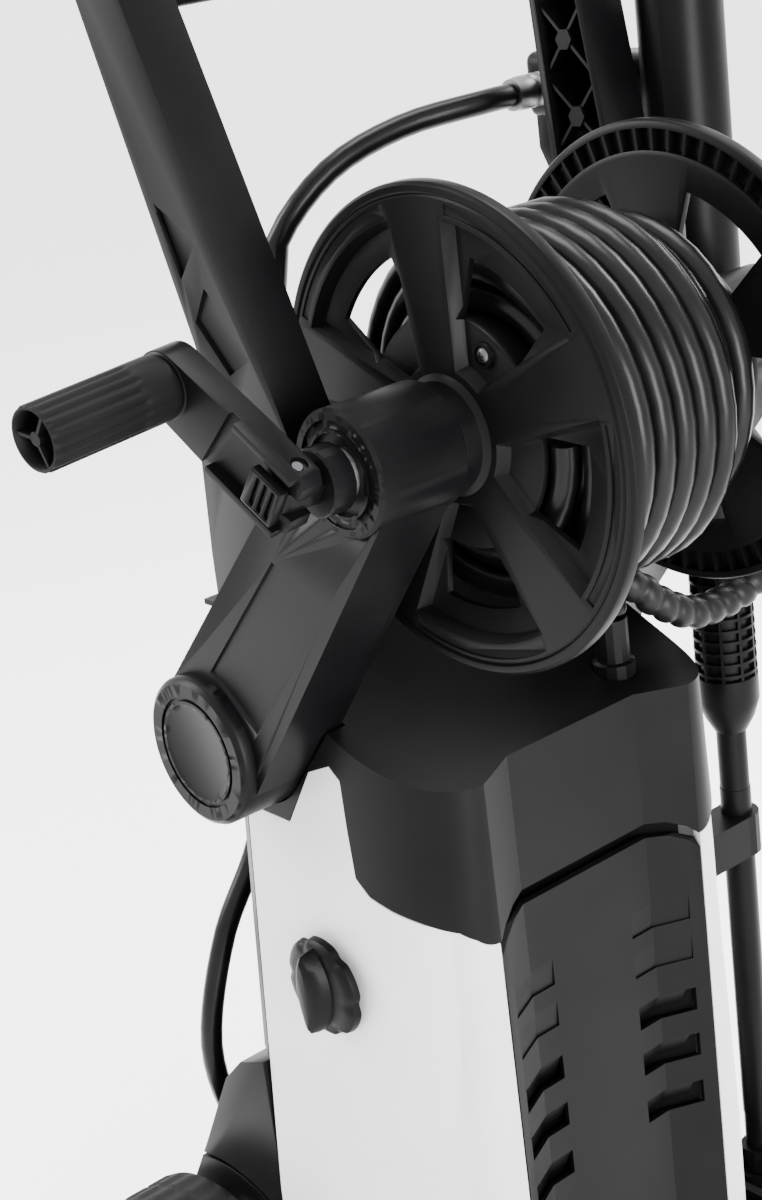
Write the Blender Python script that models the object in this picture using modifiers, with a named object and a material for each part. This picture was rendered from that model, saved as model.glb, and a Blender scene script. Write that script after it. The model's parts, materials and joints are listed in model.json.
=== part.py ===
"""Upright electric pressure washer with a hose reel, modelled as an assembly.

Machine frame: X runs across the machine (0 on its centre plane), Y runs from front to back (0 at the
reel's axis) and Z is the height above the floor. The empty MACHINE_ORIGIN carries every part and shifts
that frame so that the middle of the machine's footprint is the world origin.
"""

import math

import bmesh
import bpy
from mathutils import Matrix, Vector

# ---- driving dimensions, in metres ------------------------------------------------------------------
GAP = 0.0003  # between pieces that touch
WALL = 0.003  # moulded shells

REEL_Z = 0.680  # height of the reel's axis
FLANGE_R = 0.120
FLANGE_FACE_X = 0.0804  # outer face of each flange
FLANGE_WEB_X = 0.0705  # inner face of each flange
DRUM_R = 0.054
SHAFT_R = 0.012
SPOKE_TURN = math.radians(4)  # how far the first spoke stands from straight up
SPOKES = 5

HOUSING_R = 0.0306
HOUSING_X = (0.0945, 0.148)
ARM_X = (0.100, 0.143)
ROOT_Y, ROOT_Z = 0.150, REEL_Z - 0.177  # centre of the arm's round root
ROOT_R = 0.041
CAP_X = (0.110, 0.152)
CROSS_TUBE_R = 0.012

FRONT_Y = 0.008  # front ridges of the body
FACET_Y = 0.0215  # recessed middle of the front
RIDGE_X = 0.076
FACET_X = 0.047
SIDE_Y = (0.097, 0.150)  # where the body is widest
COVER_END_Y = 0.163  # seam between the side covers and the back cover
BACK_Y = 0.205
CRADLE_R = 0.186  # hollow of the hood under the reel
SHELL_BOTTOM_Z = 0.128
SEAM = 0.0085  # dark gap between the hood and the front panel
LOUVRE_Z = (0.2935, 0.2635, 0.2320)  # lower edge of each slot
LOUVRE_X = (FACET_X - 0.0165, FACET_X + 0.0205)
LOUVRE_HEIGHT = 0.0145

UPRIGHT_X = (0.106, 0.136)  # at the height of the reel's axis
UPRIGHT_SPLAY = 0.1  # outward per metre of height
UPRIGHT_LEAN = 0.265  # backward per metre of height
UPRIGHT_TOP = 0.262  # above the reel's axis
CROSSBAR_Z = (0.207, 0.237)  # above the reel's axis
HANDLE_TUBE_R = 0.0135
HANDLE_TOP = 0.330  # above the reel's axis

WHEEL_R = 0.096
WHEEL_X = (0.137, 0.179)
AXLE_Y = 0.222
AXLE_R = 0.006
BASE_HALF_X = 0.131

CRANK_PIN_X = -0.177
CRANK_ANGLE = math.radians(36)  # the arm points up and back
CRANK_TILT = math.radians(5.6)  # the arm leans outward
CRANK_LENGTH = 0.079
GRIP_R = 0.016
GRIP_LENGTH = 0.074

KNOB_Y, KNOB_Z = SIDE_Y[0], REEL_Z - 0.310
KNOB_R = 0.0286

HOSE_R = 0.00675
HOSE_PACK_R = 0.0945  # outside of the wound hose
LINK_HOSE_R = 0.0095
HOSE_END_Y = 0.160  # where the hose enters the gun's grip
GUN_X, GUN_Y = 0.1705, 0.066
GUN_R = 0.0235
GRIP_Z = REEL_Z + 0.118  # height of the gun's grip, where the hose comes in
LANCE_R = 0.009
INLET_X, CABLE_X, PORTS_Z = 0.055, -0.055, 0.345  # water inlet and cable in the back cover

MOTOR_X, MOTOR_Y = 0.012, 0.108
MOTOR_R = 0.060
PLUNGER_CIRCLE_R = 0.020

# The outermost points of the crank's grip, the gun, the flanges and the tyres.
FOOTPRINT_X = (-0.26793, 0.19804)
FOOTPRINT_Y = (-FLANGE_R, AXLE_Y + WHEEL_R)

# ---- scene ------------------------------------------------------------------------------------------
for old in list(bpy.data.objects):
    bpy.data.objects.remove(old, do_unlink=True)

PARTS = bpy.data.collections.new("pressure_washer")
CUTTERS = bpy.data.collections.new("cutters")
bpy.context.scene.collection.children.link(PARTS)
bpy.context.scene.collection.children.link(CUTTERS)
CUTTERS.hide_render = True

MACHINE_ORIGIN = bpy.data.objects.new("machine_origin", None)
PARTS.objects.link(MACHINE_ORIGIN)
MACHINE_ORIGIN.location = (-sum(FOOTPRINT_X) / 2, -sum(FOOTPRINT_Y) / 2, 0)


def material(name, colour, roughness, metallic=0.0):
    made = bpy.data.materials.new(name)
    made.use_nodes = True
    shader = made.node_tree.nodes["Principled BSDF"]
    shader.inputs["Base Color"].default_value = (*colour, 1)
    shader.inputs["Roughness"].default_value = roughness
    shader.inputs["Metallic"].default_value = metallic
    made.diffuse_color = (*colour, 1)
    return made


BLACK = material("black_moulding", (0.035, 0.036, 0.038), 0.5)
WHITE = material("white_moulding", (0.80, 0.80, 0.81), 0.4)
SOFT = material("soft_grip", (0.02, 0.02, 0.02), 0.8)
RUBBER = material("hose_rubber", (0.018, 0.018, 0.019), 0.35)
STEEL = material("bright_steel", (0.62, 0.62, 0.62), 0.3, 1.0)
BRASS = material("brass", (0.72, 0.53, 0.24), 0.35, 1.0)
CAST = material("cast_alloy", (0.55, 0.56, 0.57), 0.45, 1.0)
GREY = material("grey_moulding", (0.22, 0.22, 0.23), 0.5)


# ---- shape helpers ----------------------------------------------------------------------------------
def place(obj, collection, parent=None):
    collection.objects.link(obj)
    obj.parent = parent
    if collection is CUTTERS:
        obj.hide_render = True
        obj.display_type = "WIRE"
    return obj


def as_part(name, mesh, look, parent=MACHINE_ORIGIN):
    """A mesh as a named part, or as a cutter when look is None."""
    obj = bpy.data.objects.new(name, mesh)
    if look is None:
        return place(obj, CUTTERS, parent)
    mesh.materials.append(look)
    mesh.shade_smooth()
    mesh.set_sharp_from_angle(angle=math.radians(35))
    return place(obj, PARTS, parent)


def mesh_of(name, bm):
    bmesh.ops.recalc_face_normals(bm, faces=bm.faces)
    mesh = bpy.data.meshes.new(name)
    bm.to_mesh(mesh)
    bm.free()
    return mesh


def box(name, low, high, look, bevel=0.0, parent=MACHINE_ORIGIN):
    """A box between two corners."""
    low, high = Vector(low), Vector(high)
    bm = bmesh.new()
    bmesh.ops.create_cube(bm, size=1)
    bmesh.ops.scale(bm, vec=high - low, verts=bm.verts)
    bmesh.ops.translate(bm, vec=(high + low) / 2, verts=bm.verts)
    obj = as_part(name, mesh_of(name, bm), look, parent)
    if bevel:
        rounding(obj, bevel)
    return obj


def boxes(name, corners, parent=MACHINE_ORIGIN):
    """Several boxes as one cutter."""
    bm = bmesh.new()
    for low, high in corners:
        low, high = Vector(low), Vector(high)
        fit = Matrix.LocRotScale((high + low) / 2, None, high - low)
        bmesh.ops.create_cube(bm, size=1, matrix=fit)
    return as_part(name, mesh_of(name, bm), None, parent)


def rounding(obj, width, segments=1):
    mod = obj.modifiers.new("rounding", "BEVEL")
    mod.width = width
    mod.segments = segments
    mod.limit_method = "ANGLE"
    mod.angle_limit = math.radians(40)
    return mod


def prism(name, outline, low, high, look, axis="X", bevel=0.0, parent=MACHINE_ORIGIN):
    """A flat outline pushed from low to high along an axis. The outline holds (y, z) pairs for X, (x, z)
    pairs for Y and (x, y) pairs for Z."""
    bm = bmesh.new()

    def corner(pair, along):
        a, b = pair
        return {"X": (along, a, b), "Y": (a, along, b), "Z": (a, b, along)}[axis]

    ring = [bm.verts.new(corner(pair, low)) for pair in outline]
    face = bm.faces.new(ring)
    grown = bmesh.ops.extrude_face_region(bm, geom=[face])["geom"]
    push = Vector(corner((0, 0), high - low))
    bmesh.ops.translate(bm, vec=push, verts=[v for v in grown if isinstance(v, bmesh.types.BMVert)])
    obj = as_part(name, mesh_of(name, bm), look, parent)
    if bevel:
        rounding(obj, bevel)
    return obj


def turned(name, profile, look, centre=(0, 0, 0), axis="Z", steps=20, parent=MACHINE_ORIGIN, ring=False):
    """A profile of (radius, height) pairs turned about an axis. It runs down its outer side, and the
    profile of a ring closes on itself."""
    mesh = bpy.data.meshes.new(name)
    points = [(r, 0, h) for r, h in profile]
    edges = [(i, i + 1) for i in range(len(points) - 1)]
    if ring:
        edges.append((len(points) - 1, 0))
    mesh.from_pydata(points, edges, [])
    obj = as_part(name, mesh, look, parent)
    obj.location = centre
    turn = {"Z": (0, 0, 0), "X": (0, math.pi / 2, 0), "-X": (0, -math.pi / 2, 0), "Y": (-math.pi / 2, 0, 0)}
    obj.rotation_euler = turn[axis]
    screw = obj.modifiers.new("turning", "SCREW")
    screw.angle = math.tau
    screw.steps = screw.render_steps = steps
    screw.use_merge_vertices = True
    screw.merge_threshold = 0.00001
    screw.use_smooth_shade = True
    return obj


def rod(name, radius, low, high, look, centre=(0, 0, 0), axis="Z", steps=16, parent=MACHINE_ORIGIN, edge=0.0):
    """A round bar from low to high along an axis through centre, with an optional chamfer."""
    if edge:
        profile = [(0, high), (radius - edge, high), (radius, high - edge)]
        profile += [(radius, low + edge), (radius - edge, low), (0, low)]
    else:
        profile = [(0, high), (radius, high), (radius, low), (0, low)]
    return turned(name, profile, look, centre, axis, steps, parent)


def sleeve(name, inner, outer, low, high, look, centre=(0, 0, 0), axis="Z", steps=16, parent=MACHINE_ORIGIN):
    """A tube with a bore."""
    profile = [(inner, high), (outer, high), (outer, low), (inner, low)]
    return turned(name, profile, look, centre, axis, steps, parent, ring=True)


def tube(name, points, radius, look, resolution=2, parent=MACHINE_ORIGIN):
    """A round tube along a smooth curve through its own points."""
    curve = bpy.data.curves.new(name, "CURVE")
    curve.dimensions = "3D"
    curve.bevel_depth = radius
    curve.bevel_resolution = resolution
    curve.use_fill_caps = True
    spline = curve.splines.new("POLY")
    spline.points.add(len(points) - 1)
    for slot, point in zip(spline.points, points):
        slot.co = (*point, 1)
    curve.materials.append(look)
    return place(bpy.data.objects.new(name, curve), PARTS, parent)


def smooth_route(points, step):
    """Evenly spaced points on a Catmull-Rom curve through a few chosen ones."""
    ends = [2 * points[0] - points[1], *points, 2 * points[-1] - points[-2]]
    fine = []
    for i in range(1, len(ends) - 2):
        p0, p1, p2, p3 = ends[i - 1 : i + 3]
        for k in range(40):
            t = k / 40
            bend = 2 * p0 - 5 * p1 + 4 * p2 - p3
            twist = 3 * p1 - p0 - 3 * p2 + p3
            fine.append(0.5 * (2 * p1 + (p2 - p0) * t + bend * t * t + twist * t * t * t))
    fine.append(points[-1])
    length = sum((b - a).length for a, b in zip(fine, fine[1:]))
    count = max(2, round(length / step))
    spaced, walked, wanted = [fine[0]], 0.0, length / count
    for a, b in zip(fine, fine[1:]):
        span = (b - a).length
        while walked + span >= wanted and len(spaced) < count:
            spaced.append(a.lerp(b, (wanted - walked) / span))
            wanted += length / count
        walked += span
    return [*spaced, fine[-1]]


def cut(obj, cutter, keep="DIFFERENCE", solver="EXACT"):
    mod = obj.modifiers.new(f"{keep.lower()} {cutter.name}", "BOOLEAN")
    mod.operation = keep
    mod.solver = solver
    mod.object = cutter
    return obj


def join(obj, other):
    """Adds another shape to obj. The other one stays as a hidden guide."""
    for home in list(other.users_collection):
        home.objects.unlink(other)
    CUTTERS.objects.link(other)
    other.hide_render = True
    other.display_type = "WIRE"
    return cut(obj, other, "UNION")


def arc(cy, cz, radius, start, end, count):
    """Points on an arc, angles in degrees."""
    steps = [math.radians(start + (end - start) * i / count) for i in range(count + 1)]
    return [(cy + radius * math.cos(a), cz + radius * math.sin(a)) for a in steps]


# ---- the body's outline -----------------------------------------------------------------------------
def half_width(z):
    """The body widens towards the floor."""
    return min(0.134, 0.122 + 0.075 * (KNOB_Z - z))


def corner_curve(z, inset=0.0, count=7):
    """The body's side in plan, from the front ridge to the widest place, for x > 0."""
    wide, power = half_width(z) - inset, 0.88
    front = FRONT_Y + inset
    points = []
    for i in range(count + 1):
        s = math.pi / 2 * i / count
        x = RIDGE_X + (wide - RIDGE_X) * math.sin(s) ** power
        y = SIDE_Y[0] - (SIDE_Y[0] - front) * max(0.0, math.cos(s)) ** power
        points.append((x, y))
    return points


def rear_curve(z, inset=0.0, count=5):
    """The rear corner in plan, from the widest place to the back, for x > 0."""
    wide = half_width(z) - inset
    points = []
    for i in range(count + 1):
        s = math.pi / 2 * i / count
        x = wide - 0.055 + 0.055 * math.cos(s)
        y = SIDE_Y[1] + (BACK_Y - inset - SIDE_Y[1]) * math.sin(s)
        points.append((x, y))
    return points


def front_curve(inset=0.0):
    """The recessed front in plan, from the left ridge to the right one."""
    return [
        (-RIDGE_X + inset * 0.3, FRONT_Y + inset),
        (-FACET_X + inset * 0.4, FACET_Y + inset),
        (FACET_X - inset * 0.4, FACET_Y + inset),
        (RIDGE_X - inset * 0.3, FRONT_Y + inset),
    ]


def body_plan(z, inset=0.0):
    """The whole outline of the body, anticlockwise from above."""
    side = corner_curve(z, inset)[1:] + rear_curve(z, inset)
    left = [(-x, y) for x, y in reversed(side)]
    return front_curve(inset) + side + left


def loft(name, levels, section, look):
    """Faces between a section at each height, with a cap at both ends."""
    bm = bmesh.new()
    rings = [[bm.verts.new((x, y, z)) for x, y in section(z)] for z in levels]
    for low, high in zip(rings, rings[1:]):
        for i, a in enumerate(low):
            j = (i + 1) % len(low)
            bm.faces.new((a, low[j], high[j], high[i]))
    bm.faces.new(list(reversed(rings[0])))
    bm.faces.new(rings[-1])
    bmesh.ops.triangulate(bm, faces=bm.faces)
    return as_part(name, mesh_of(name, bm), look)


def arm_outline(margin=0.0):
    """The reel arm from the side: a bar that widens from the bearing housing to its root."""
    down = math.atan2(ROOT_Z - REEL_Z, ROOT_Y)
    spread = math.asin((ROOT_R - HOUSING_R) / math.hypot(ROOT_Y, ROOT_Z - REEL_Z))
    start = math.degrees(down + math.pi / 2 + spread)
    end = math.degrees(down + math.pi * 1.5 - spread)
    head = arc(0, REEL_Z, HOUSING_R + margin, start, end, 10)
    root = arc(ROOT_Y, ROOT_Z, ROOT_R + margin, end - 360, start, 12)
    return head + root


def skirt_outline():
    """The region under the hood's lower edge, from the side: low at the front, then up in front of the arm's
    root, whose place it leaves free."""
    z = REEL_Z
    edge = [(0.010, z - 0.275), (0.020, z - 0.2635), (0.034, z - 0.259), (0.048, z - 0.2555)]
    edge += [(0.063, z - 0.2505), (0.073, z - 0.242), (0.0765, z - 0.215), (0.079, z - 0.188)]
    edge += [(0.090, z - 0.182), (0.125, z - 0.224), (0.172, z - 0.224), (0.240, z - 0.200)]
    return [(-0.050, z - 0.276), *edge, (0.240, 0.0), (-0.050, 0.0)]


# ---- covers -----------------------------------------------------------------------------------------
def add_hood():
    levels = [REEL_Z - 0.285, REEL_Z - 0.205, REEL_Z - 0.120]
    hood = loft("hood", levels, body_plan, BLACK)
    inside = [levels[0] - 0.01, levels[1], levels[2] - WALL]
    hollow = loft("hood_hollow", inside, lambda z: body_plan(z, WALL), None)
    cut_hollow = rod("hood_hollow_top", CRADLE_R + WALL + 0.001, -0.2, 0.2, None, (0, 0, REEL_Z), "X", 72)
    cut(hollow, cut_hollow)
    cradle = rod("hood_cradle", CRADLE_R, -0.2, 0.2, None, (0, 0, REEL_Z), "X", 72)
    cut(hood, hollow)
    cut(hood, cradle)
    skirt = prism("hood_skirt", skirt_outline(), -0.2, 0.2, None)
    cut(hood, skirt)
    cut(hood, boxes("hood_back", [((-0.2, 0.1625, 0.3), (0.2, 0.3, 0.7))]))
    clear_arms(hood)
    port = rod("hood_port", 0.0125, -0.02, 0.03, None, (0.060, 0.047, REEL_Z - 0.180), "Z", 16)
    cut(hood, port)


def clear_arms(obj, sides=(-1, 1)):
    """Takes the two reel arms' places out of a piece, with a gap around them."""
    for side in sides:
        reach = sorted((side * (ARM_X[0] - 0.0015), side * 0.2))
        clear = prism(f"arm_clearance_{obj.name}_{side}", arm_outline(0.0015), *reach, None)
        cut(obj, clear)


def add_side_cover(name, side):
    def wall(z):
        """The cover in plan: its outer curve, then its inner one."""
        start, end = RIDGE_X + GAP + 0.0005, COVER_END_Y
        outer = [(start, FRONT_Y), *corner_curve(z)[1:], (half_width(z), end)]
        inner = [(start, FRONT_Y + WALL), *corner_curve(z, WALL)[1:], (half_width(z) - WALL, end)]
        return [(side * x, y) for x, y in outer + inner[::-1]]

    levels = [SHELL_BOTTOM_Z, 0.200, 0.290, 0.370, 0.440, 0.505]
    cover = loft(name, levels, wall, WHITE)
    z = REEL_Z
    edge = [(y, h - 0.0006) for y, h in skirt_outline()[1:-3]]
    above = [(-0.050, z - 0.2766), *edge, (0.240, z - 0.224), (0.240, 0.8), (-0.050, 0.8)]
    cut(cover, prism(f"{name}_top", above, -0.2, 0.2, None))
    if side < 0:
        centre = (-half_width(KNOB_Z), KNOB_Y, KNOB_Z)
        cut(cover, rod("knob_hole", 0.0046, -0.02, 0.02, None, centre, "X", 14))


def add_back_cover():
    def rear_corner(z, inset):
        start = (half_width(z) - inset, COVER_END_Y + 2 * GAP)
        curve = [p for p in rear_curve(z, inset, 6) if p[1] > start[1] + 0.002]
        right = [start, *curve]
        return right + [(-x, y) for x, y in reversed(right)]

    def wall(z):
        return rear_corner(z, 0.0) + rear_corner(z, WALL)[::-1]

    back = loft("back_cover", [0.2980, 0.370, 0.440, 0.500, 0.568], wall, BLACK)
    clear_arms(back)
    for name, radius, x in (("cable_hole", 0.0078, CABLE_X), ("inlet_hole", 0.0148, INLET_X)):
        cut(back, rod(name, radius, -0.02, 0.02, None, (x, BACK_Y - 0.003, PORTS_Z), "Y", 16))
    join(back, box("back_lid", (-0.0965, 0.1640, 0.5585), (0.0965, BACK_Y - 0.0015, 0.5615), BLACK))


def add_front_panel():
    def wall(_):
        return front_curve() + front_curve(WALL)[::-1]

    panel = loft("front_panel", [SHELL_BOTTOM_Z, REEL_Z - 0.255], wall, BLACK)
    edge = [(y, z - SEAM) for y, z in skirt_outline()[:4]]
    cut(panel, prism("panel_top", [*edge, (0.048, 0.6), (-0.050, 0.6)], -0.2, 0.2, None))
    slots = []
    for z in LOUVRE_Z:
        for side in (-1, 1):
            low, high = sorted(side * x for x in LOUVRE_X)
            slots.append(((low, 0.0, z), (high, 0.04, z + LOUVRE_HEIGHT)))
    cut(panel, boxes("louvre_slots", slots))


# ---- base, wheels and feet --------------------------------------------------------------------------
def add_base():
    """The base moulding, which rises behind the covers to carry the axle, and the foot under its front."""
    outline = [(-0.004, 0.034), (0.190, 0.034), (0.235, 0.046), (0.266, 0.078), (0.268, 0.150)]
    outline += [(0.240, 0.212), (0.208, 0.268), (0.1655, 0.2955), (0.1655, 0.1265), (-0.004, 0.1265)]
    base = prism("base", outline, -BASE_HALF_X, BASE_HALF_X, BLACK)
    rounding(base, 0.008)
    front, rear = BASE_HALF_X - 0.006, BASE_HALF_X - 0.026
    cut(base, boxes("base_hollow_front", [((-front, 0.004, 0.042), (front, 0.168, 0.2))]))
    cut(base, boxes("base_hollow_rear", [((-rear, 0.160, 0.042), (rear, 0.196, 0.4))]))
    cut(base, rod("axle_hole", AXLE_R + GAP, -0.2, 0.2, None, (0, AXLE_Y, WHEEL_R), "X", 16))
    bar = [(0.010, 0.0335), (0.014, 0.006), (0.018, 0.0), (0.042, 0.0), (0.046, 0.006), (0.050, 0.0335)]
    foot = prism("front_foot", bar, -0.112, 0.112, SOFT)
    cut(foot, boxes("foot_arch", [((-0.075, 0.0, -0.01), (0.075, 0.06, 0.012))]))


def add_wheel(side):
    word = "left" if side < 0 else "right"
    axis = "-X" if side < 0 else "X"
    centre = (0, AXLE_Y, WHEEL_R)
    x0, x1 = WHEEL_X
    tread = WHEEL_R - 0.010
    profile = [(tread, x1), (WHEEL_R - 0.003, x1), (WHEEL_R, x1 - 0.006), (WHEEL_R, x0 + 0.006)]
    profile += [(WHEEL_R - 0.003, x0), (tread, x0)]
    turned(f"tyre_{word}", profile, SOFT, centre, axis, 28, ring=True)
    bore = AXLE_R + GAP
    hub = [(0, x1 + 0.001), (0.014, x1 + 0.001), (0.018, x1 - 0.003), (0.022, x1 - 0.012)]
    hub += [(0.068, x1 - 0.012), (tread - 0.004, x1 - 0.001), (tread - GAP, x1 - 0.001)]
    hub.append((tread - GAP, x0 + 0.001))
    hub += [(tread - 0.005, x0 + 0.001), (0.070, x1 - 0.016), (0.020, x1 - 0.016), (0.018, x0 + 0.001)]
    hub += [(bore, x0 + 0.001), (bore, x1 - 0.004), (0, x1 - 0.004)]
    turned(f"wheel_{word}", hub, BLACK, centre, axis, 28)


# ---- reel -------------------------------------------------------------------------------------------
def spoke_gap(name, inner, outer, half_hub, half_rim, low, high, side, count=5):
    """A cutter for one gap between two spokes, as an outline about the reel's axis. half_hub and half_rim
    are the spoke's half widths at its two ends."""
    half = math.pi / SPOKES
    first = math.asin(half_hub / inner)
    last = math.asin(half_rim / outer)
    ring = [(outer, last + (2 * half - 2 * last) * i / count) for i in range(count + 1)]
    foot = [(inner, 2 * half - first - (2 * half - 2 * first) * i / 2) for i in range(3)]
    outline = [(-r * math.sin(a), r * math.cos(a)) for r, a in ring + foot]
    ends = sorted((side * low, side * high))
    cutter = prism(name, outline, *ends, None)
    cutter.location = (0, 0, REEL_Z)
    return cutter


def add_flange(side):
    word = "left" if side < 0 else "right"
    face, web = FLANGE_FACE_X, FLANGE_WEB_X
    bore = SHAFT_R + GAP
    profile = [(bore, HOUSING_X[0] - 0.001), (0.028, HOUSING_X[0] - 0.001), (0.0295, face), (0.1165, face)]
    profile += [(FLANGE_R, face - 0.0025), (FLANGE_R, web + 0.001), (0.1185, web - 0.0005)]
    profile += [(0.112, web), (0.030, web), (0.029, 0.060), (bore, 0.060)]
    name = f"reel_flange_{word}"
    flange = turned(name, profile, BLACK, (0, 0, REEL_Z), "-X" if side < 0 else "X", 40, ring=True)
    for i in range(SPOKES):
        turn = (-SPOKE_TURN if side < 0 else SPOKE_TURN) + math.tau * i / SPOKES
        floor = face - 0.0065
        pocket = spoke_gap(f"{name}_pocket_{i}", 0.036, 0.098, 0.0130, 0.0185, floor, face + 0.01, side)
        window = spoke_gap(f"{name}_window_{i}", 0.058, 0.088, 0.0185, 0.0225, web - 0.01, face, side, 4)
        for cutter in (pocket, window):
            cutter.rotation_euler = (turn, 0, 0)
            cut(flange, cutter)


def add_reel():
    for side in (-1, 1):
        add_flange(side)
    axis = (0, 0, REEL_Z)
    half = FLANGE_WEB_X - GAP
    sleeve("reel_drum", DRUM_R - 0.004, DRUM_R, -half, half, BLACK, axis, "X", 32)
    rod("reel_shaft", SHAFT_R, -0.1485, 0.1485, CAST, axis, "X", 20, edge=0.001)
    pack = [(DRUM_R + 0.0005, 0.063), (HOSE_PACK_R - 0.012, 0.063), (HOSE_PACK_R - 0.008, 0.030)]
    pack += [(HOSE_PACK_R, 0.020), (HOSE_PACK_R, -0.069), (DRUM_R + 0.0005, -0.069)]
    turned("wound_hose", pack, RUBBER, axis, "X", 32, ring=True)


def add_arm(side):
    word = "left" if side < 0 else "right"
    name = f"reel_arm_{word}"
    arm = prism(name, arm_outline(), *sorted((side * ARM_X[0], side * ARM_X[1])), BLACK)
    ends = sorted((side * HOUSING_X[0], side * HOUSING_X[1]))
    join(arm, rod(f"{name}_housing", HOUSING_R + 0.0005, *ends, BLACK, (0, 0, REEL_Z), "X", 26))
    root = (0, ROOT_Y, ROOT_Z)
    ends = sorted((side * CAP_X[0], side * CAP_X[1]))
    join(arm, rod(f"{name}_cap", ROOT_R + 0.0006, *ends, BLACK, root, "X", 26, edge=0.002))
    cut(arm, rod(f"{name}_bore", SHAFT_R + GAP, -0.2, 0.2, None, (0, 0, REEL_Z), "X", 20))
    recess = sorted((side * (HOUSING_X[1] - 0.002), side * 0.2))
    cut(arm, rod(f"{name}_recess", 0.0262, *recess, None, (0, 0, REEL_Z), "X", 26))
    tube_hole = rod(f"{name}_tube_hole", CROSS_TUBE_R + GAP, -0.1428, 0.1428, None, root, "X", 26)
    cut(arm, tube_hole, solver="MANIFOLD")


# ---- crank ------------------------------------------------------------------------------------------
def crank_frame():
    """The crank's own frame on its fold pin: X along the arm, Y along the pin, Z outward."""
    along = Vector((0, math.cos(CRANK_ANGLE), math.sin(CRANK_ANGLE)))
    outward = Vector((-1, 0, 0))
    pin = Vector((0, -math.sin(CRANK_ANGLE), math.cos(CRANK_ANGLE)))
    along, outward = (
        along * math.cos(CRANK_TILT) + outward * math.sin(CRANK_TILT),
        outward * math.cos(CRANK_TILT) - along * math.sin(CRANK_TILT),
    )
    turn = Matrix((along, -pin, outward)).transposed()
    return Matrix.Translation((CRANK_PIN_X, 0, REEL_Z)) @ turn.to_4x4()


def crank_outline():
    hub, tip = 0.0185, 0.0165
    outline = [(-0.0105, -hub + 0.004), (-0.0065, -hub), (0.030, -hub + 0.0005)]
    outline += arc(CRANK_LENGTH, 0, tip, -86, 86, 10)
    outline += [(0.030, hub - 0.0005), (-0.0065, hub), (-0.0105, hub - 0.004)]
    return outline


def add_crank():
    pivot = bpy.data.objects.new("crank_pivot", None)
    place(pivot, PARTS, MACHINE_ORIGIN)
    pivot.matrix_local = crank_frame()
    arm = prism("crank_arm", crank_outline(), -0.0075, 0.0075, BLACK, "Z", 0.0012, pivot)
    cut(arm, boxes("crank_fork", [((-0.03, -0.0064, -0.02), (0.0078, 0.0064, 0.02))], pivot))
    cut(arm, rod("crank_pin_hole", 0.0033, -0.03, 0.03, None, (0, 0, 0), "Y", 12, pivot))
    rod("crank_fold_pin", 0.003, -0.0178, 0.0178, STEEL, (0, 0, 0), "Y", 12, pivot, 0.0004)
    join(arm, rod("grip_pin", 0.004, 0.0, 0.045, BLACK, (CRANK_LENGTH, 0, 0), "Z", 12, pivot))
    low = 0.0081
    top = low + GRIP_LENGTH
    grip = [(0.0043, top - 0.030), (0.0130, top - 0.030), (0.0130, top), (GRIP_R - 0.0005, top)]
    grip += [(GRIP_R, top - 0.001), (GRIP_R, low + 0.02), (GRIP_R - 0.0006, low), (0.0043, low)]
    turned("crank_grip", grip, SOFT, (CRANK_LENGTH, 0, 0), "Z", 20, pivot, ring=True)
    latch = box("crank_latch", (-0.0060, -0.0105, 0.0079), (0.0140, 0.0105, 0.0135), GREY, 0.001, pivot)
    starts = [-0.0025 + 0.005 * i for i in range(3)]
    grooves = [((x, -0.008, 0.0112), (x + 0.0025, 0.008, 0.02)) for x in starts]
    cut(latch, boxes("latch_grooves", grooves, pivot))

    untilted = bpy.data.objects.new("crank_hub_place", None)
    place(untilted, PARTS, MACHINE_ORIGIN)
    untilted.location = (CRANK_PIN_X, 0, REEL_Z)
    untilted.rotation_euler = (CRANK_ANGLE, 0, 0)
    hub = rod("crank_hub", 0.0165, 0.0146, 0.0277, BLACK, (0, 0, 0), "X", 20, untilted, 0.001)
    join(hub, box("crank_tongue", (0.0, -0.007, -0.006), (0.016, 0.007, 0.006), BLACK, 0, untilted))
    join(hub, rod("crank_tongue_end", 0.007, -0.006, 0.006, BLACK, (0, 0, 0), "Z", 16, untilted))
    cut(hub, rod("crank_tongue_hole", 0.0033, -0.03, 0.03, None, (0, 0, 0), "Z", 12, untilted))


# ---- uprights and handle ----------------------------------------------------------------------------
def shear(mesh, side):
    """Leans an upright outward, about the height of the reel's axis."""
    for vertex in mesh.vertices:
        vertex.co.x += side * UPRIGHT_SPLAY * (vertex.co.z - REEL_Z)


def front_edge(height):
    return 0.047 + UPRIGHT_LEAN * height


def add_upright(side):
    word = "left" if side < 0 else "right"
    z = REEL_Z
    outline = [(front_edge(UPRIGHT_TOP), z + UPRIGHT_TOP), (front_edge(-0.012), z - 0.012)]
    outline += [(0.1395, z - 0.1200), (0.1480, z - 0.1200), (0.1270, z - 0.012), (0.1065, z + 0.030)]
    outline += [(0.1090, z + 0.049), (0.1480, z + UPRIGHT_TOP)]
    xs = sorted((side * UPRIGHT_X[0], side * UPRIGHT_X[1]))
    upright = prism(f"upright_{word}", outline, *xs, BLACK)
    shear(upright.data, side)
    rounding(upright, 0.002)
    wall = 0.004
    pocket = [(front_edge(0.250) + wall, z + 0.250), (front_edge(0.030) + wall, z + 0.030)]
    pocket += [(0.1055, z + 0.052), (0.1458 - wall, z + 0.250)]
    reach = sorted((side * (UPRIGHT_X[0] - 0.03), side * (UPRIGHT_X[1] - wall)))
    channel = prism(f"upright_{word}_channel", pocket, *reach, None)
    shear(channel.data, side)
    cut(upright, channel)
    clear_arms(upright, (side,))


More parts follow.
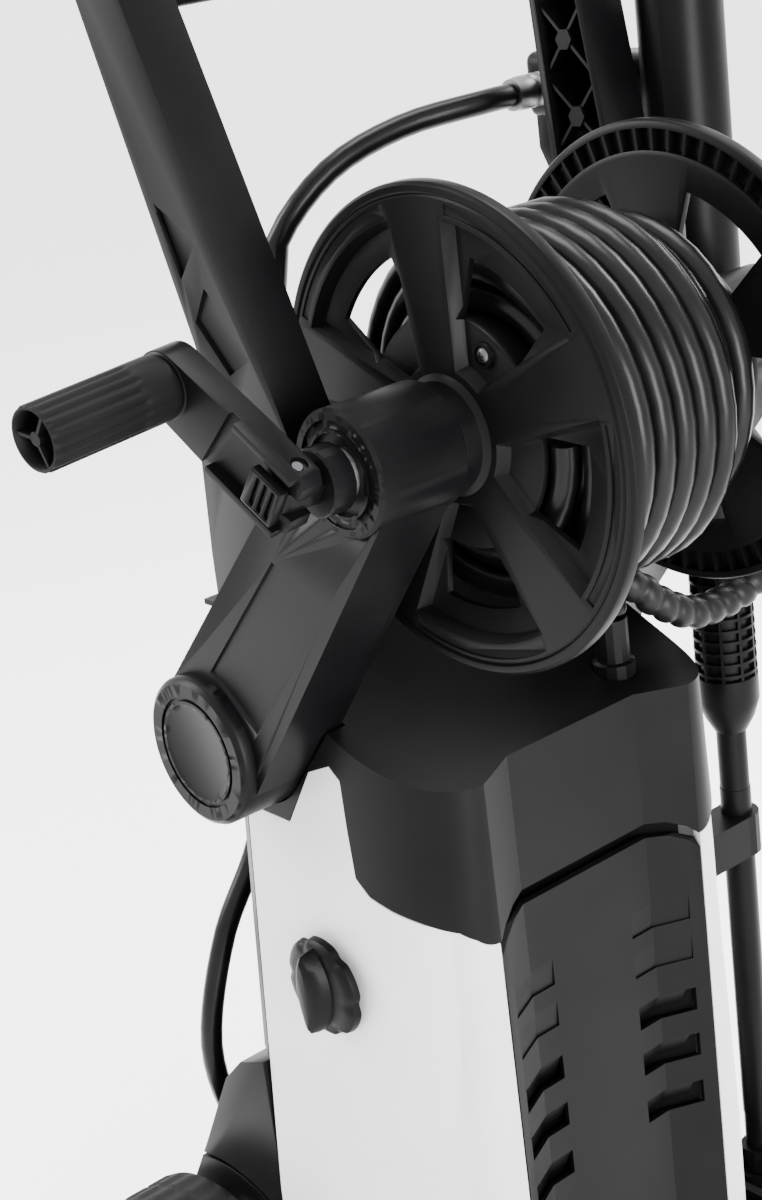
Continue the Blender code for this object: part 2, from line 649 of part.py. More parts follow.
def add_handle():
    z = REEL_Z
    reach = UPRIGHT_X[0] + UPRIGHT_SPLAY * CROSSBAR_Z[0] - 0.0007
    bar_y = front_edge(sum(CROSSBAR_Z) / 2)
    low, high = (-reach, bar_y + 0.006, z + CROSSBAR_Z[0]), (reach, bar_y + 0.030, z + CROSSBAR_Z[1])
    box("crossbar", low, high, BLACK, 0.004)
    foot_x = (UPRIGHT_X[0] + UPRIGHT_X[1]) / 2 + UPRIGHT_SPLAY * UPRIGHT_TOP
    foot_y = (front_edge(UPRIGHT_TOP) + 0.148) / 2
    half = [(foot_x, foot_y, UPRIGHT_TOP + 0.0024), (foot_x, foot_y, UPRIGHT_TOP + 0.011)]
    half += [(foot_x - 0.002, foot_y + 0.006, 0.296), (foot_x - 0.014, foot_y + 0.012, 0.315)]
    half += [(foot_x - 0.035, foot_y + 0.017, 0.327), (foot_x - 0.060, foot_y + 0.019, HANDLE_TOP)]
    points = [Vector((x, y, z + h)) for x, y, h in half] + [Vector((0, foot_y + 0.019, z + HANDLE_TOP))]
    points += [Vector((-x, y, z + h)) for x, y, h in reversed(half)]
    tube("push_handle", smooth_route(points, 0.024), HANDLE_TUBE_R, BLACK, 2)


# ---- control ----------------------------------------------------------------------------------------
def add_power_switch():
    wide = half_width(KNOB_Z)
    centre = (0, KNOB_Y, KNOB_Z)
    disc = [(0, wide + 0.011), (KNOB_R - 0.003, wide + 0.011), (KNOB_R, wide + 0.009)]
    disc += [(KNOB_R, wide + 0.0035), (0, wide + 0.0035)]
    knob = turned("power_knob", disc, BLACK, centre, "-X", 24)
    low = (-wide - 0.0215, KNOB_Y - 0.0055, KNOB_Z - 0.0235)
    high = (-wide - 0.009, KNOB_Y + 0.0055, KNOB_Z + 0.0235)
    join(knob, box("knob_bar", low, high, BLACK, 0.002))
    join(knob, rod("knob_spindle", 0.004, -wide - 0.006, -wide + 0.020, BLACK, centre, "X", 12))
    low = (-wide + 0.0070, KNOB_Y - 0.021, KNOB_Z - 0.022)
    high = (-wide + 0.040, KNOB_Y + 0.019, KNOB_Z + 0.022)
    switch = box("switch_box", low, high, GREY, 0.002)
    cut(switch, rod("switch_bore", 0.0043, -wide - 0.01, -wide + 0.0205, None, centre, "X", 12))


# ---- motor and pump ---------------------------------------------------------------------------------
def add_motor():
    centre = (MOTOR_X, MOTOR_Y, 0)
    case = [(MOTOR_R - 0.006, 0.392), (MOTOR_R, 0.392), (MOTOR_R, 0.256), (0.0125, 0.256)]
    case += [(0.0125, 0.262), (MOTOR_R - 0.006, 0.262)]
    turned("motor_case", case, CAST, centre, "Z", 24, ring=True)
    lid = [(0.0125, 0.401), (0.048, 0.401), (MOTOR_R, 0.3955), (MOTOR_R, 0.3923), (0.0125, 0.3923)]
    turned("motor_end_bell", lid, CAST, centre, "Z", 24, ring=True)
    rotor = [(0, 0.420), (0.007, 0.420), (0.007, 0.380), (0.046, 0.378), (0.046, 0.275), (0.007, 0.273)]
    rotor += [(0.007, 0.2330), (0, 0.2330)]
    turned("motor_rotor", rotor, STEEL, centre, "Z", 18)
    fan = [(0.0073, 0.4215), (0.014, 0.4215), (0.050, 0.4120), (0.052, 0.4045), (0.0073, 0.4045)]
    turned("cooling_fan", fan, GREY, centre, "Z", 18, ring=True)
    plate = rod("swash_plate", 0.030, 0.2090, 0.2240, STEEL, centre, "Z", 18)
    tilt = boxes("swash_tilt", [((-0.05, -0.05, 0.0), (0.05, 0.05, 0.03))])
    tilt.location = (MOTOR_X, MOTOR_Y, 0.2180)
    tilt.rotation_euler = (0, math.radians(7), 0)
    cut(plate, tilt)
    join(plate, rod("swash_hub", 0.009, 0.2100, 0.2327, STEEL, centre, "Z", 14))


def add_pump():
    centre = (MOTOR_X, MOTOR_Y, 0)
    body = [(0, 0.195), (0.036, 0.195), (0.036, 0.240), (0.0125, 0.240), (0.0125, 0.2557), (0.050, 0.2557)]
    body += [(0.050, 0.152), (0, 0.152)]
    pump = turned("pump_body", body, CAST, centre, "Z", 20)
    for i in range(3):
        angle = math.tau * i / 3
        x = MOTOR_X + PLUNGER_CIRCLE_R * math.cos(angle)
        y = MOTOR_Y + PLUNGER_CIRCLE_R * math.sin(angle)
        cut(pump, rod(f"plunger_bore_{i}", 0.0063, 0.140, 0.200, None, (x, y, 0), "Z", 12))
        rod(f"plunger_{i + 1}", 0.006, 0.154, 0.2050, STEEL, (x, y, 0), "Z", 10)
    head = box("pump_head", (-0.036, MOTOR_Y - 0.042, 0.100), (0.060, MOTOR_Y + 0.042, 0.1517), BRASS, 0.004)
    cut(head, rod("inlet_bore", 0.0085, 0.135, 0.20, None, (0.040, 0, 0.125), "Y", 12))
    join(head, rod("unloader_valve", 0.011, 0.036, 0.080, BRASS, (-0.012, 0, 0.126), "Y", 14, edge=0.002))
    riser = [(0.0612, 0.108, 0.120), (0.0700, 0.108, 0.120), (0.0840, 0.107, 0.130), (0.0890, 0.105, 0.155)]
    riser += [(0.0890, 0.092, 0.220), (0.0885, 0.080, 0.320), (0.0800, 0.064, 0.410), (0.0640, 0.050, 0.460)]
    riser += [(0.0600, 0.047, 0.4750), (0.0600, 0.047, REEL_Z - 0.1925)]
    tube("riser_pipe", smooth_route([Vector(p) for p in riser], 0.016), 0.0055, STEEL, 2)
    port = [(0, 0.0345), (0.0095, 0.0345), (0.0095, 0.010), (0.0120, 0.009), (0.0120, -0.007)]
    port += [(0.0095, -0.0072), (0.0095, -0.0085), (0, -0.0085)]
    turned("outlet_port", port, STEEL, (0.060, 0.047, REEL_Z - 0.1837), "Z", 14)
    inlet = [(0, 0.232), (0.0105, 0.232), (0.0135, 0.230), (0.0135, 0.222), (0.0115, 0.220), (0.0115, 0.2075)]
    inlet += [(0.0180, 0.2073), (0.0180, 0.2055), (0.0145, 0.2053), (0.0145, 0.197), (0, 0.197)]
    turned("water_inlet", inlet, BRASS, (INLET_X, 0, PORTS_Z), "Y", 16)
    drop = [(INLET_X, 0.1945, PORTS_Z), (INLET_X, 0.188, PORTS_Z), (0.055, 0.180, 0.335)]
    drop += [(0.056, 0.177, 0.300), (0.058, 0.178, 0.240), (0.058, 0.180, 0.170)]
    drop += [(0.050, 0.178, 0.134), (0.042, 0.166, 0.125)]
    drop += [(0.040, 0.1508, 0.125)]
    tube("inlet_pipe", smooth_route([Vector(p) for p in drop], 0.015), 0.006, RUBBER, 2)


def add_cable_gland():
    gland = [(0.0045, 0.226), (0.0070, 0.225), (0.0085, 0.2075), (0.0125, 0.2073), (0.0125, 0.2053)]
    gland += [(0.0075, 0.2051), (0.0075, 0.196), (0.0045, 0.196)]
    turned("cable_gland", gland, BLACK, (CABLE_X, 0, PORTS_Z), "Y", 14, ring=True)


# ---- gun, lance and hoses ---------------------------------------------------------------------------
def add_gun():
    z = REEL_Z
    centre = (GUN_X, GUN_Y, 0)
    body = [(0, z + 0.250), (0.016, z + 0.250), (GUN_R, z + 0.236), (GUN_R, z + 0.020)]
    body += [(0.0195, z - 0.028), (0, z - 0.028)]
    gun = turned("gun_body", body, BLACK, centre, "Z", 20)
    low, high = (GUN_X - 0.0125, GUN_Y + 0.010, z + 0.100), (GUN_X + 0.0125, 0.178, z + 0.137)
    join(gun, box("gun_grip_block", low, high, BLACK, 0.007))
    low, high = (GUN_X - 0.0053, GUN_Y + 0.0245, z + 0.090), (GUN_X + 0.0053, 0.150, z + 0.1215)
    cut(gun, boxes("trigger_slot", [(low, high)]))
    cut(gun, rod("lock_hole", 0.0043, -0.05, 0.05, None, (GUN_X, GUN_Y, z + 0.075), "X", 12))
    cut(gun, rod("inlet_seat", 0.0105, -0.03, -0.0075, None, (GUN_X, HOSE_END_Y, GRIP_Z), "X", 14))
    lever = [(0.0925, 0.1100), (0.1460, 0.1105), (0.1480, 0.1010), (0.1300, 0.0930), (0.1080, 0.0900)]
    lever.append((0.0925, 0.0940))
    prism("trigger", [(y, z + h) for y, h in lever], GUN_X - 0.005, GUN_X + 0.005, BLACK)
    guard = [(0.0850, 0.0460), (0.1500, 0.0550), (0.1760, 0.0780), (0.1760, 0.1050), (0.1680, 0.1050)]
    guard += [(0.1680, 0.0820), (0.1470, 0.0625), (0.0850, 0.0530)]
    guard = [(y, z + h) for y, h in guard]
    join(gun, prism("trigger_guard", guard, GUN_X - 0.007, GUN_X + 0.007, BLACK))
    rod("trigger_lock", 0.004, -0.0225, 0.0275, GREY, (GUN_X, GUN_Y, z + 0.075), "X", 12, edge=0.0008)
    top, bottom = z - 0.0283, z - 0.262
    lance_grip = [(0, top), (0.0195, top), (0.0185, z - 0.105), (0.0185, z - 0.240)]
    lance_grip += [(0.0095, bottom), (0, bottom)]
    turned("lance_grip", lance_grip, BLACK, centre, "Z", 20)
    rod("lance_tube", LANCE_R, z - 0.555, bottom - GAP, STEEL, centre, "Z", 14)
    nozzle = [(0, z - 0.5553), (0.0125, z - 0.5553), (0.0135, z - 0.560), (0.0135, z - 0.590)]
    nozzle += [(0.0110, z - 0.604), (0, z - 0.604)]
    turned("spray_nozzle", nozzle, BLACK, centre, "Z", 16)


def add_lance_holders():
    z = REEL_Z
    side = half_width(z - 0.330) + 0.0006
    outline = [(side, GUN_Y - 0.013), (GUN_X - 0.004, GUN_Y - 0.013)]
    outline += arc(GUN_X, GUN_Y, LANCE_R + 0.0045, -105, 105, 10)
    outline += [(GUN_X - 0.004, GUN_Y + 0.013), (side, GUN_Y + 0.013)]
    clip = prism("lance_clip", outline, z - 0.343, z - 0.317, BLACK, "Z")
    cut(clip, rod("clip_bore", LANCE_R + 0.0006, z - 0.4, z - 0.3, None, (GUN_X, GUN_Y, 0), "Z", 16))
    low = z - 0.610
    cup = sleeve("nozzle_cup", 0.0155, 0.0190, low, z - 0.570, BLACK, (GUN_X, GUN_Y, 0), "Z", 18)
    inner, outer = BASE_HALF_X + 0.0004, GUN_X - 0.0165
    bracket = box("nozzle_cup_bracket", (inner, GUN_Y - 0.016, low), (outer, GUN_Y + 0.016, z - 0.585), BLACK)
    join(cup, bracket)
    join(cup, rod("nozzle_cup_floor", 0.0185, low, low + 0.003, BLACK, (GUN_X, GUN_Y, 0), "Z", 18))


def add_hoses():
    z = REEL_Z
    elbow = rod("swivel_elbow", 0.0140, 0.1493, 0.1830, BRASS, (0, 0, z), "X", 16, edge=0.001)
    join(elbow, rod("swivel_leg", 0.0085, -0.040, 0.0, BRASS, (0.1715, 0, z), "Z", 14))
    link = [(0.1715, 0.0, -0.0412), (0.1715, 0.0, -0.050), (0.1840, 0.006, -0.078), (0.1890, 0.012, -0.105)]
    link += [(0.1830, 0.020, -0.130), (0.1690, 0.026, -0.148), (0.1500, 0.029, -0.158)]
    link += [(0.1280, 0.030, -0.161), (0.1050, 0.030, -0.158), (0.0830, 0.032, -0.145)]
    link += [(0.0690, 0.038, -0.131), (0.0610, 0.046, -0.1340)]
    link += [(0.0600, 0.047, -0.1455)]
    points = [Vector((x, y, z + h)) for x, y, h in link]
    tube("link_hose", smooth_route(points, 0.013), LINK_HOSE_R, RUBBER, 2)
    ferrule = [(0, 0.1598), (0.0085, 0.1598), (0.0098, 0.1550), (0.0098, 0.1330), (0.0090, 0.1300)]
    ferrule.append((0, 0.1300))
    turned("hose_ferrule", ferrule, STEEL, (0, HOSE_END_Y, GRIP_Z), "X", 14)
    tube("free_hose", smooth_route(hose_route(), 0.030), HOSE_R, RUBBER, 2)


def hose_route():
    """The free end of the hose: off the back of the winding, down behind the base, and up to the gun.
    The heights are above the reel's axis."""
    route = [
        (0.038, 0.002, -0.0960),
        (0.038, 0.035, -0.0975),
        (0.038, 0.080, -0.0985),
        (0.038, 0.125, -0.0955),
        (0.040, 0.168, -0.0880),
        (0.044, 0.205, -0.0980),
        (0.049, 0.230, -0.1350),
        (0.053, 0.240, -0.2000),
        (0.055, 0.243, -0.2800),
        (0.050, 0.246, -0.3600),
        (0.032, 0.252, -0.4350),
        (-0.004, 0.260, -0.4800),
        (-0.048, 0.264, -0.4960),
        (-0.088, 0.257, -0.4880),
        (-0.109, 0.246, -0.4560),
        (-0.1165, 0.240, -0.4030),
        (-0.096, 0.239, -0.3420),
        (-0.062, 0.238, -0.2900),
        (-0.042, 0.236, -0.2150),
        (-0.035, 0.231, -0.1300),
        (-0.029, 0.222, -0.0400),
        (-0.016, 0.207, 0.0400),
        (-0.013, 0.200, 0.0670),
        (0.019, 0.190, 0.0970),
        (0.063, 0.178, 0.1125),
        (0.108, HOSE_END_Y, 0.1180),
        (0.1292, HOSE_END_Y, 0.1180),
    ]
    return [Vector((x, y, REEL_Z + h)) for x, y, h in route]


def build():
    add_hood()
    add_side_cover("side_cover_left", -1)
    add_side_cover("side_cover_right", 1)
    add_back_cover()
    add_front_panel()
    add_base()
    rod("axle", AXLE_R, -0.1745, 0.1745, STEEL, (0, AXLE_Y, WHEEL_R), "X", 14)
    rod("arm_cross_tube", CROSS_TUBE_R, -0.1425, 0.1425, STEEL, (0, ROOT_Y, ROOT_Z), "X", 16)
    for side in (-1, 1):
        add_wheel(side)
        add_arm(side)
        add_upright(side)
    add_handle()
    add_reel()
    add_crank()
    add_power_switch()
    add_motor()
    add_pump()
    add_cable_gland()
    add_gun()
    add_lance_holders()
    add_hoses()


build()
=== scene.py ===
"""The looks of an upright pressure washer with a hose reel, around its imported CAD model.

Every piece is built about the reel's axis: X across the machine from its centre plane, Y to the back and Z
up from the axis, in metres. place() then moves it to where the reel's joint is.
"""

import json
import math

import bmesh
import bpy
from mathutils import Matrix, Vector


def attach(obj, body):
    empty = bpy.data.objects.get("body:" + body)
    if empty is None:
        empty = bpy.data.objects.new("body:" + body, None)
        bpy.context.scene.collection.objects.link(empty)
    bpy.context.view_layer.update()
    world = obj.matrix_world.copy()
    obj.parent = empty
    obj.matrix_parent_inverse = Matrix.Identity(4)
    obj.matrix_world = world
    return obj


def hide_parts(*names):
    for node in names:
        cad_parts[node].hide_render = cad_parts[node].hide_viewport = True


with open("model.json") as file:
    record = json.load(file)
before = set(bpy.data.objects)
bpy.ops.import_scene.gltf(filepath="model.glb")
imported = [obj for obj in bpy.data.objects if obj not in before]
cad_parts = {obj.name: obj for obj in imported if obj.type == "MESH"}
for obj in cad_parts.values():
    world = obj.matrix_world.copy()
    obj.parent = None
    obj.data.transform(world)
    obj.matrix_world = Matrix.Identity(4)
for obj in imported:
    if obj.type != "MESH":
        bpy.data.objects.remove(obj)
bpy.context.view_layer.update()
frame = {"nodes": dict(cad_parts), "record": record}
JOINTS = {joint["name"]: joint for joint in frame["record"]["behaviour"]["joints"]}
AXIS = Vector(JOINTS["reel_spin"]["pos_m"])
FLOOR = -AXIS.z

CAMERA_SPOT = Vector((-0.7246, -0.7596, 0.2865))
CAMERA_TURNS = (37.95, 20.09, 7.32)  # azimuth, elevation and roll, in degrees
LENS_MM = 65.94

HOSE_R = 0.00675
HOSE_PORT = Vector((0.060, 0.047, -0.180))
FLANGE_R = 0.120
HOUSING_R = 0.0306
ROOT = Vector((0, 0.150, -0.177))
ROOT_R = 0.0412
CRADLE_R = 0.186
GUN = Vector((0.1705, 0.066, 0))
BARREL_R = 0.0235
KNOB = Vector((-0.122, 0.097, -0.310))
WHEEL_R = 0.096
WHEEL = Vector((0, 0.222, FLOOR + WHEEL_R))
SPOKES = 5
SPOKE_TURN = math.radians(-4)


# ---- camera, light and floor ------------------------------------------------------------------------
def add_camera():
    azimuth, elevation, roll = (math.radians(a) for a in CAMERA_TURNS)
    forward = Vector((
        math.sin(azimuth) * math.cos(elevation),
        math.cos(azimuth) * math.cos(elevation),
        -math.sin(elevation),
    ))
    right = Vector((math.cos(azimuth), -math.sin(azimuth), 0))
    up = right.cross(forward)
    across = math.cos(roll) * right - math.sin(roll) * up
    upward = math.sin(roll) * right + math.cos(roll) * up
    camera = bpy.data.objects.new("camera", bpy.data.cameras.new("camera"))
    camera.data.lens = LENS_MM
    camera.data.sensor_width = 36
    camera.matrix_world = Matrix((across, upward, -forward)).transposed().to_4x4()
    camera.location = AXIS + CAMERA_SPOT
    bpy.context.scene.collection.objects.link(camera)
    bpy.context.scene.camera = camera


def add_area(name, place, target, size, power):
    data = bpy.data.lights.new(name, "AREA")
    data.shape = "RECTANGLE"
    data.size, data.size_y = size
    data.energy = power
    lamp = bpy.data.objects.new(name, data)
    lamp.location = place
    lamp.rotation_euler = (Vector(target) - Vector(place)).to_track_quat("-Z", "Y").to_euler()
    bpy.context.scene.collection.objects.link(lamp)


def add_studio():
    world = bpy.data.worlds.new("studio")
    world.use_nodes = True
    back = world.node_tree.nodes["Background"]
    back.inputs["Color"].default_value = (1.0, 1.0, 1.0, 1)
    back.inputs["Strength"].default_value = 3.2
    bpy.context.scene.world = world
    middle = AXIS + Vector((0, 0.05, -0.1))
    add_area("front", (-0.45, -2.0, 0.75), middle, (0.8, 1.3), 110)
    add_area("side", (2.0, -0.2, 1.6), middle, (0.7, 1.4), 60)
    add_area("rim", (-1.2, 1.6, 1.7), middle, (0.8, 1.4), 90)
    add_area("top", (0.3, 0.2, 2.6), middle, (1.0, 1.0), 60)
    bm = bmesh.new()
    bmesh.ops.create_grid(bm, x_segments=1, y_segments=1, size=6)
    mesh = bpy.data.meshes.new("floor")
    bm.to_mesh(mesh)
    bm.free()
    floor = bpy.data.objects.new("floor", mesh)
    bpy.context.scene.collection.objects.link(floor)
    shade = bpy.data.materials.new("floor_paper")
    shade.use_nodes = True
    shader = shade.node_tree.nodes["Principled BSDF"]
    shader.inputs["Base Color"].default_value = (0.96, 0.96, 0.96, 1)
    shader.inputs["Roughness"].default_value = 0.8
    mesh.materials.append(shade)


# ---- materials --------------------------------------------------------------------------------------
def surface(name, low, high, rough, grain, grain_size=0.0006, metallic=0.0, mottle=18, specular=0.5):
    """A Principled material whose colour drifts from low to high, with a roughness range and a grain."""
    made = bpy.data.materials.new(name)
    made.use_nodes = True
    nodes, links = made.node_tree.nodes, made.node_tree.links
    shader = nodes["Principled BSDF"]
    shader.inputs["Metallic"].default_value = metallic
    shader.inputs["Specular IOR Level"].default_value = specular
    where = nodes.new("ShaderNodeTexCoord").outputs["Object"]
    cloud = nodes.new("ShaderNodeTexNoise")
    cloud.inputs["Scale"].default_value = mottle
    cloud.inputs["Detail"].default_value = 5
    links.new(where, cloud.inputs["Vector"])
    ramp = nodes.new("ShaderNodeValToRGB")
    for stop, position, colour in zip(ramp.color_ramp.elements, (0.35, 0.68), (low, high)):
        stop.position = position
        stop.color = (*colour, 1)
    links.new(cloud.outputs["Fac"], ramp.inputs["Fac"])
    links.new(ramp.outputs["Color"], shader.inputs["Base Color"])
    fine = nodes.new("ShaderNodeTexNoise")
    fine.inputs["Scale"].default_value = 0.6 / grain_size
    fine.inputs["Detail"].default_value = 3
    links.new(where, fine.inputs["Vector"])
    spread = nodes.new("ShaderNodeMapRange")
    spread.inputs["To Min"].default_value = rough[0]
    spread.inputs["To Max"].default_value = rough[1]
    blend = nodes.new("ShaderNodeMath")
    blend.operation = "MULTIPLY_ADD"
    blend.inputs[1].default_value = 0.5
    links.new(fine.outputs["Fac"], blend.inputs[0])
    half = nodes.new("ShaderNodeMath")
    half.operation = "MULTIPLY"
    half.inputs[1].default_value = 0.5
    links.new(cloud.outputs["Fac"], half.inputs[0])
    links.new(half.outputs["Value"], blend.inputs[2])
    links.new(blend.outputs["Value"], spread.inputs["Value"])
    links.new(spread.outputs["Result"], shader.inputs["Roughness"])
    bump = nodes.new("ShaderNodeBump")
    bump.inputs["Strength"].default_value = grain
    bump.inputs["Distance"].default_value = 0.0004
    links.new(fine.outputs["Fac"], bump.inputs["Height"])
    links.new(bump.outputs["Normal"], shader.inputs["Normal"])
    return made


BLACK = surface(
    "satin_black_plastic", (0.0012, 0.0012, 0.0014), (0.0022, 0.0022, 0.0025),
    (0.30, 0.42), 0.14, specular=0.06
)
HOOD_BLACK = surface(
    "fine_black_plastic", (0.0012, 0.0012, 0.0014), (0.0021, 0.0021, 0.0024),
    (0.32, 0.42), 0.1, 0.0004, specular=0.06
)
WHITE = surface(
    "white_plastic", (0.42, 0.42, 0.43), (0.45, 0.45, 0.46),
    (0.32, 0.42), 0.04, 0.0008
)
GRIP = surface(
    "soft_black_rubber", (0.002, 0.002, 0.002), (0.004, 0.004, 0.004),
    (0.44, 0.60), 0.25, specular=0.06
)
TYRE = surface(
    "tyre_rubber", (0.003, 0.003, 0.003), (0.006, 0.006, 0.006),
    (0.62, 0.82), 0.5, 0.001, specular=0.12
)
HOSE = surface(
    "hose_rubber", (0.0015, 0.0015, 0.0018), (0.003, 0.003, 0.0033),
    (0.24, 0.34), 0.05, 0.0012, mottle=40, specular=0.11
)
WRAP = surface(
    "spiral_wrap", (0.002, 0.002, 0.002), (0.004, 0.004, 0.004),
    (0.34, 0.48), 0.12, specular=0.12
)
STEEL = surface(
    "plated_steel", (0.50, 0.50, 0.51), (0.66, 0.66, 0.67),
    (0.18, 0.34), 0.06, 0.0005, metallic=1.0
)
CRIMP = surface(
    "crimped_steel", (0.10, 0.10, 0.10), (0.17, 0.17, 0.17),
    (0.30, 0.46), 0.2, 0.0009, metallic=1.0
)
SCREW = surface(
    "dark_screw_steel", (0.05, 0.05, 0.052), (0.09, 0.09, 0.095),
    (0.30, 0.44), 0.1, metallic=1.0
)
BRASS = surface(
    "machined_brass", (0.52, 0.36, 0.14), (0.68, 0.50, 0.22),
    (0.22, 0.38), 0.06, metallic=1.0
)
CAST = surface(
    "cast_aluminium", (0.42, 0.43, 0.44), (0.58, 0.59, 0.60),
    (0.38, 0.56), 0.5, 0.0012, metallic=1.0
)
# Near-black matte material for the sheet behind the open louvres: painted shade standing in for the shadowed
# inside of the body.
SHADE_BLACK = surface(
    "painted_shade_black", (0.0006, 0.0006, 0.0006), (0.0014, 0.0014, 0.0014),
    (0.6, 0.8), 0.1, specular=0.03
)
GREY = surface(
    "grey_plastic", (0.006, 0.006, 0.0065), (0.010, 0.010, 0.0105),
    (0.40, 0.52), 0.2, specular=0.2
)


# ---- mesh making ------------------------------------------------------------------------------------
def to_object(name, bm):
    bmesh.ops.remove_doubles(bm, verts=bm.verts, dist=1e-6)
    bmesh.ops.recalc_face_normals(bm, faces=bm.faces)
    mesh = bpy.data.meshes.new(name)
    bm.to_mesh(mesh)
    bm.free()
    obj = bpy.data.objects.new(name, mesh)
    bpy.context.scene.collection.objects.link(obj)
    return obj


def bake(obj):
    """Applies an object's modifiers to its mesh."""
    bpy.context.view_layer.update()
    mesh = bpy.data.meshes.new_from_object(obj.evaluated_get(bpy.context.evaluated_depsgraph_get()))
    obj.modifiers.clear()
    obj.data = mesh
    return obj


def skin(name, rings, closed=False):
    """A surface through rings of points, capped at both ends unless it closes on itself."""
    bm = bmesh.new()
    grid = [[bm.verts.new(p) for p in ring] for ring in rings]
    pairs = list(zip(grid, grid[1:])) + ([(grid[-1], grid[0])] if closed else [])
    for low, high in pairs:
        for i, a in enumerate(low):
            j = (i + 1) % len(low)
            bm.faces.new((a, low[j], high[j], high[i]))
    if not closed:
        bm.faces.new(grid[0][::-1])
        bm.faces.new(grid[-1])
    return to_object(name, bm)


def axes_of(direction):
    """Two vectors across a direction. About X they are Y and Z, about Z they are X and Y."""
    d = Vector(direction).normalized()
    first = Vector((0, 1, 0)) if abs(d.x) > 0.9 else Vector((1, 0, 0))
    first = (first - d * first.dot(d)).normalized()
    return d, first, d.cross(first)


def lathe(name, profile, direction="X", centre=(0, 0, 0), steps=96, ring=False, ripple=None):
    """A profile of (radius, height) pairs about an axis. ripple changes the radius with angle and height."""
    basis = {"X": (1, 0, 0), "-X": (-1, 0, 0), "Y": (0, 1, 0), "Z": (0, 0, 1)}.get(direction, direction)
    d, a, b = axes_of(basis)
    centre = Vector(centre)
    bm = bmesh.new()
    rows = []
    for k in range(steps):
        angle = math.tau * k / steps
        across = a * math.cos(angle) + b * math.sin(angle)
        row = []
        for r, h in profile:
            reach = r + (ripple(angle, r, h) if ripple else 0)
            row.append(bm.verts.new(centre + across * reach + d * h))
        rows.append(row)
    for k, row in enumerate(rows):
        after = rows[(k + 1) % steps]
        count = len(row) if ring else len(row) - 1
        for i in range(count):
            j = (i + 1) % len(row)
            bm.faces.new((row[i], row[j], after[j], after[i]))
    bmesh.ops.remove_doubles(bm, verts=bm.verts, dist=1e-7)
    bmesh.ops.dissolve_degenerate(bm, edges=bm.edges, dist=1e-7)
    return to_object(name, bm)


def rod(name, radius, low, high, direction="X", centre=(0, 0, 0), steps=48):
    return lathe(name, [(0, high), (radius, high), (radius, low), (0, low)], direction, centre, steps)


def prism(name, outline, low, high, direction="X"):
    """An outline pushed along an axis: (y, z) pairs for X, (x, z) for Y and (x, y) for Z."""
    def corner(pair, along):
        a, b = pair
        return Vector({"X": (along, a, b), "Y": (a, along, b), "Z": (a, b, along)}[direction])
    return skin(name, [[corner(p, low) for p in outline], [corner(p, high) for p in outline]])


def box(name, low, high):
    (x0, y0, z0), (x1, y1, z1) = low, high
    return prism(name, [(x0, y0), (x1, y0), (x1, y1), (x0, y1)], z0, z1, "Z")


def merged(name, pieces):
    """Several objects as one, each still its own closed body."""
    bm = bmesh.new()
    for piece in pieces:
        piece.data.transform(piece.matrix_world)
        bm.from_mesh(piece.data)
        bpy.data.objects.remove(piece)
    mesh = bpy.data.meshes.new(name)
    bm.to_mesh(mesh)
    bm.free()
    obj = bpy.data.objects.new(name, mesh)
    bpy.context.scene.collection.objects.link(obj)
    return obj


def combine(obj, others, operation="DIFFERENCE"):
    """Cuts other shapes from obj or adds them to it."""
    for other in others:
        mod = obj.modifiers.new(operation, "BOOLEAN")
        mod.operation = operation
        mod.solver = "EXACT"
        mod.object = other
    bake(obj)
    for other in others:
        bpy.data.objects.remove(other)
    return obj


def soften(obj, width, segments=2, angle=32):
    """Rounds the sharp edges."""
    mod = obj.modifiers.new("soften", "BEVEL")
    mod.width = width
    mod.segments = segments
    mod.limit_method = "ANGLE"
    mod.angle_limit = math.radians(angle)
    mod.use_clamp_overlap = True
    return bake(obj)


def mirrored(obj, name):
    """A copy on the machine's other side."""
    mesh = obj.data.copy()
    mesh.transform(Matrix.Scale(-1, 4, (1, 0, 0)))
    mesh.flip_normals()
    twin = bpy.data.objects.new(name, mesh)
    bpy.context.scene.collection.objects.link(twin)
    return twin


def place(obj, look, body, slot, stands_for=(), sharp=38):
    """Moves a finished piece to the machine, gives it its material and lets it ride on a body."""
    obj.data.materials.clear()
    obj.data.materials.append(look)
    obj.data.shade_smooth()
    obj.data.set_sharp_from_angle(angle=math.radians(sharp))
    obj.data.transform(Matrix.Translation(AXIS))
    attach(obj, body)
    if stands_for:
        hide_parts(*stands_for)
    return obj


def moulded(obj, *nodes, look=BLACK, sharp=38):
    """Places a black moulding on the chassis."""
    return place(obj, look, "chassis", "black_moulding", nodes, sharp)


def place_pair(obj, look, bodies, slot, node=None):
    """Places a left-hand piece and its mirror image. bodies are what the left and right ones ride on."""
    twin = mirrored(obj, obj.name.replace("left", "right"))
    for piece, side, body in zip((obj, twin), ("left", "right"), bodies):
        place(piece, look, body, slot, [f"{node}_{side}"] if node else [])


def arc(cy, cz, radius, start, end, count):
    """Points on an arc, angles in degrees."""
    steps = [math.radians(start + (end - start) * i / count) for i in range(count + 1)]
    return [(cy + radius * math.cos(a), cz + radius * math.sin(a)) for a in steps]


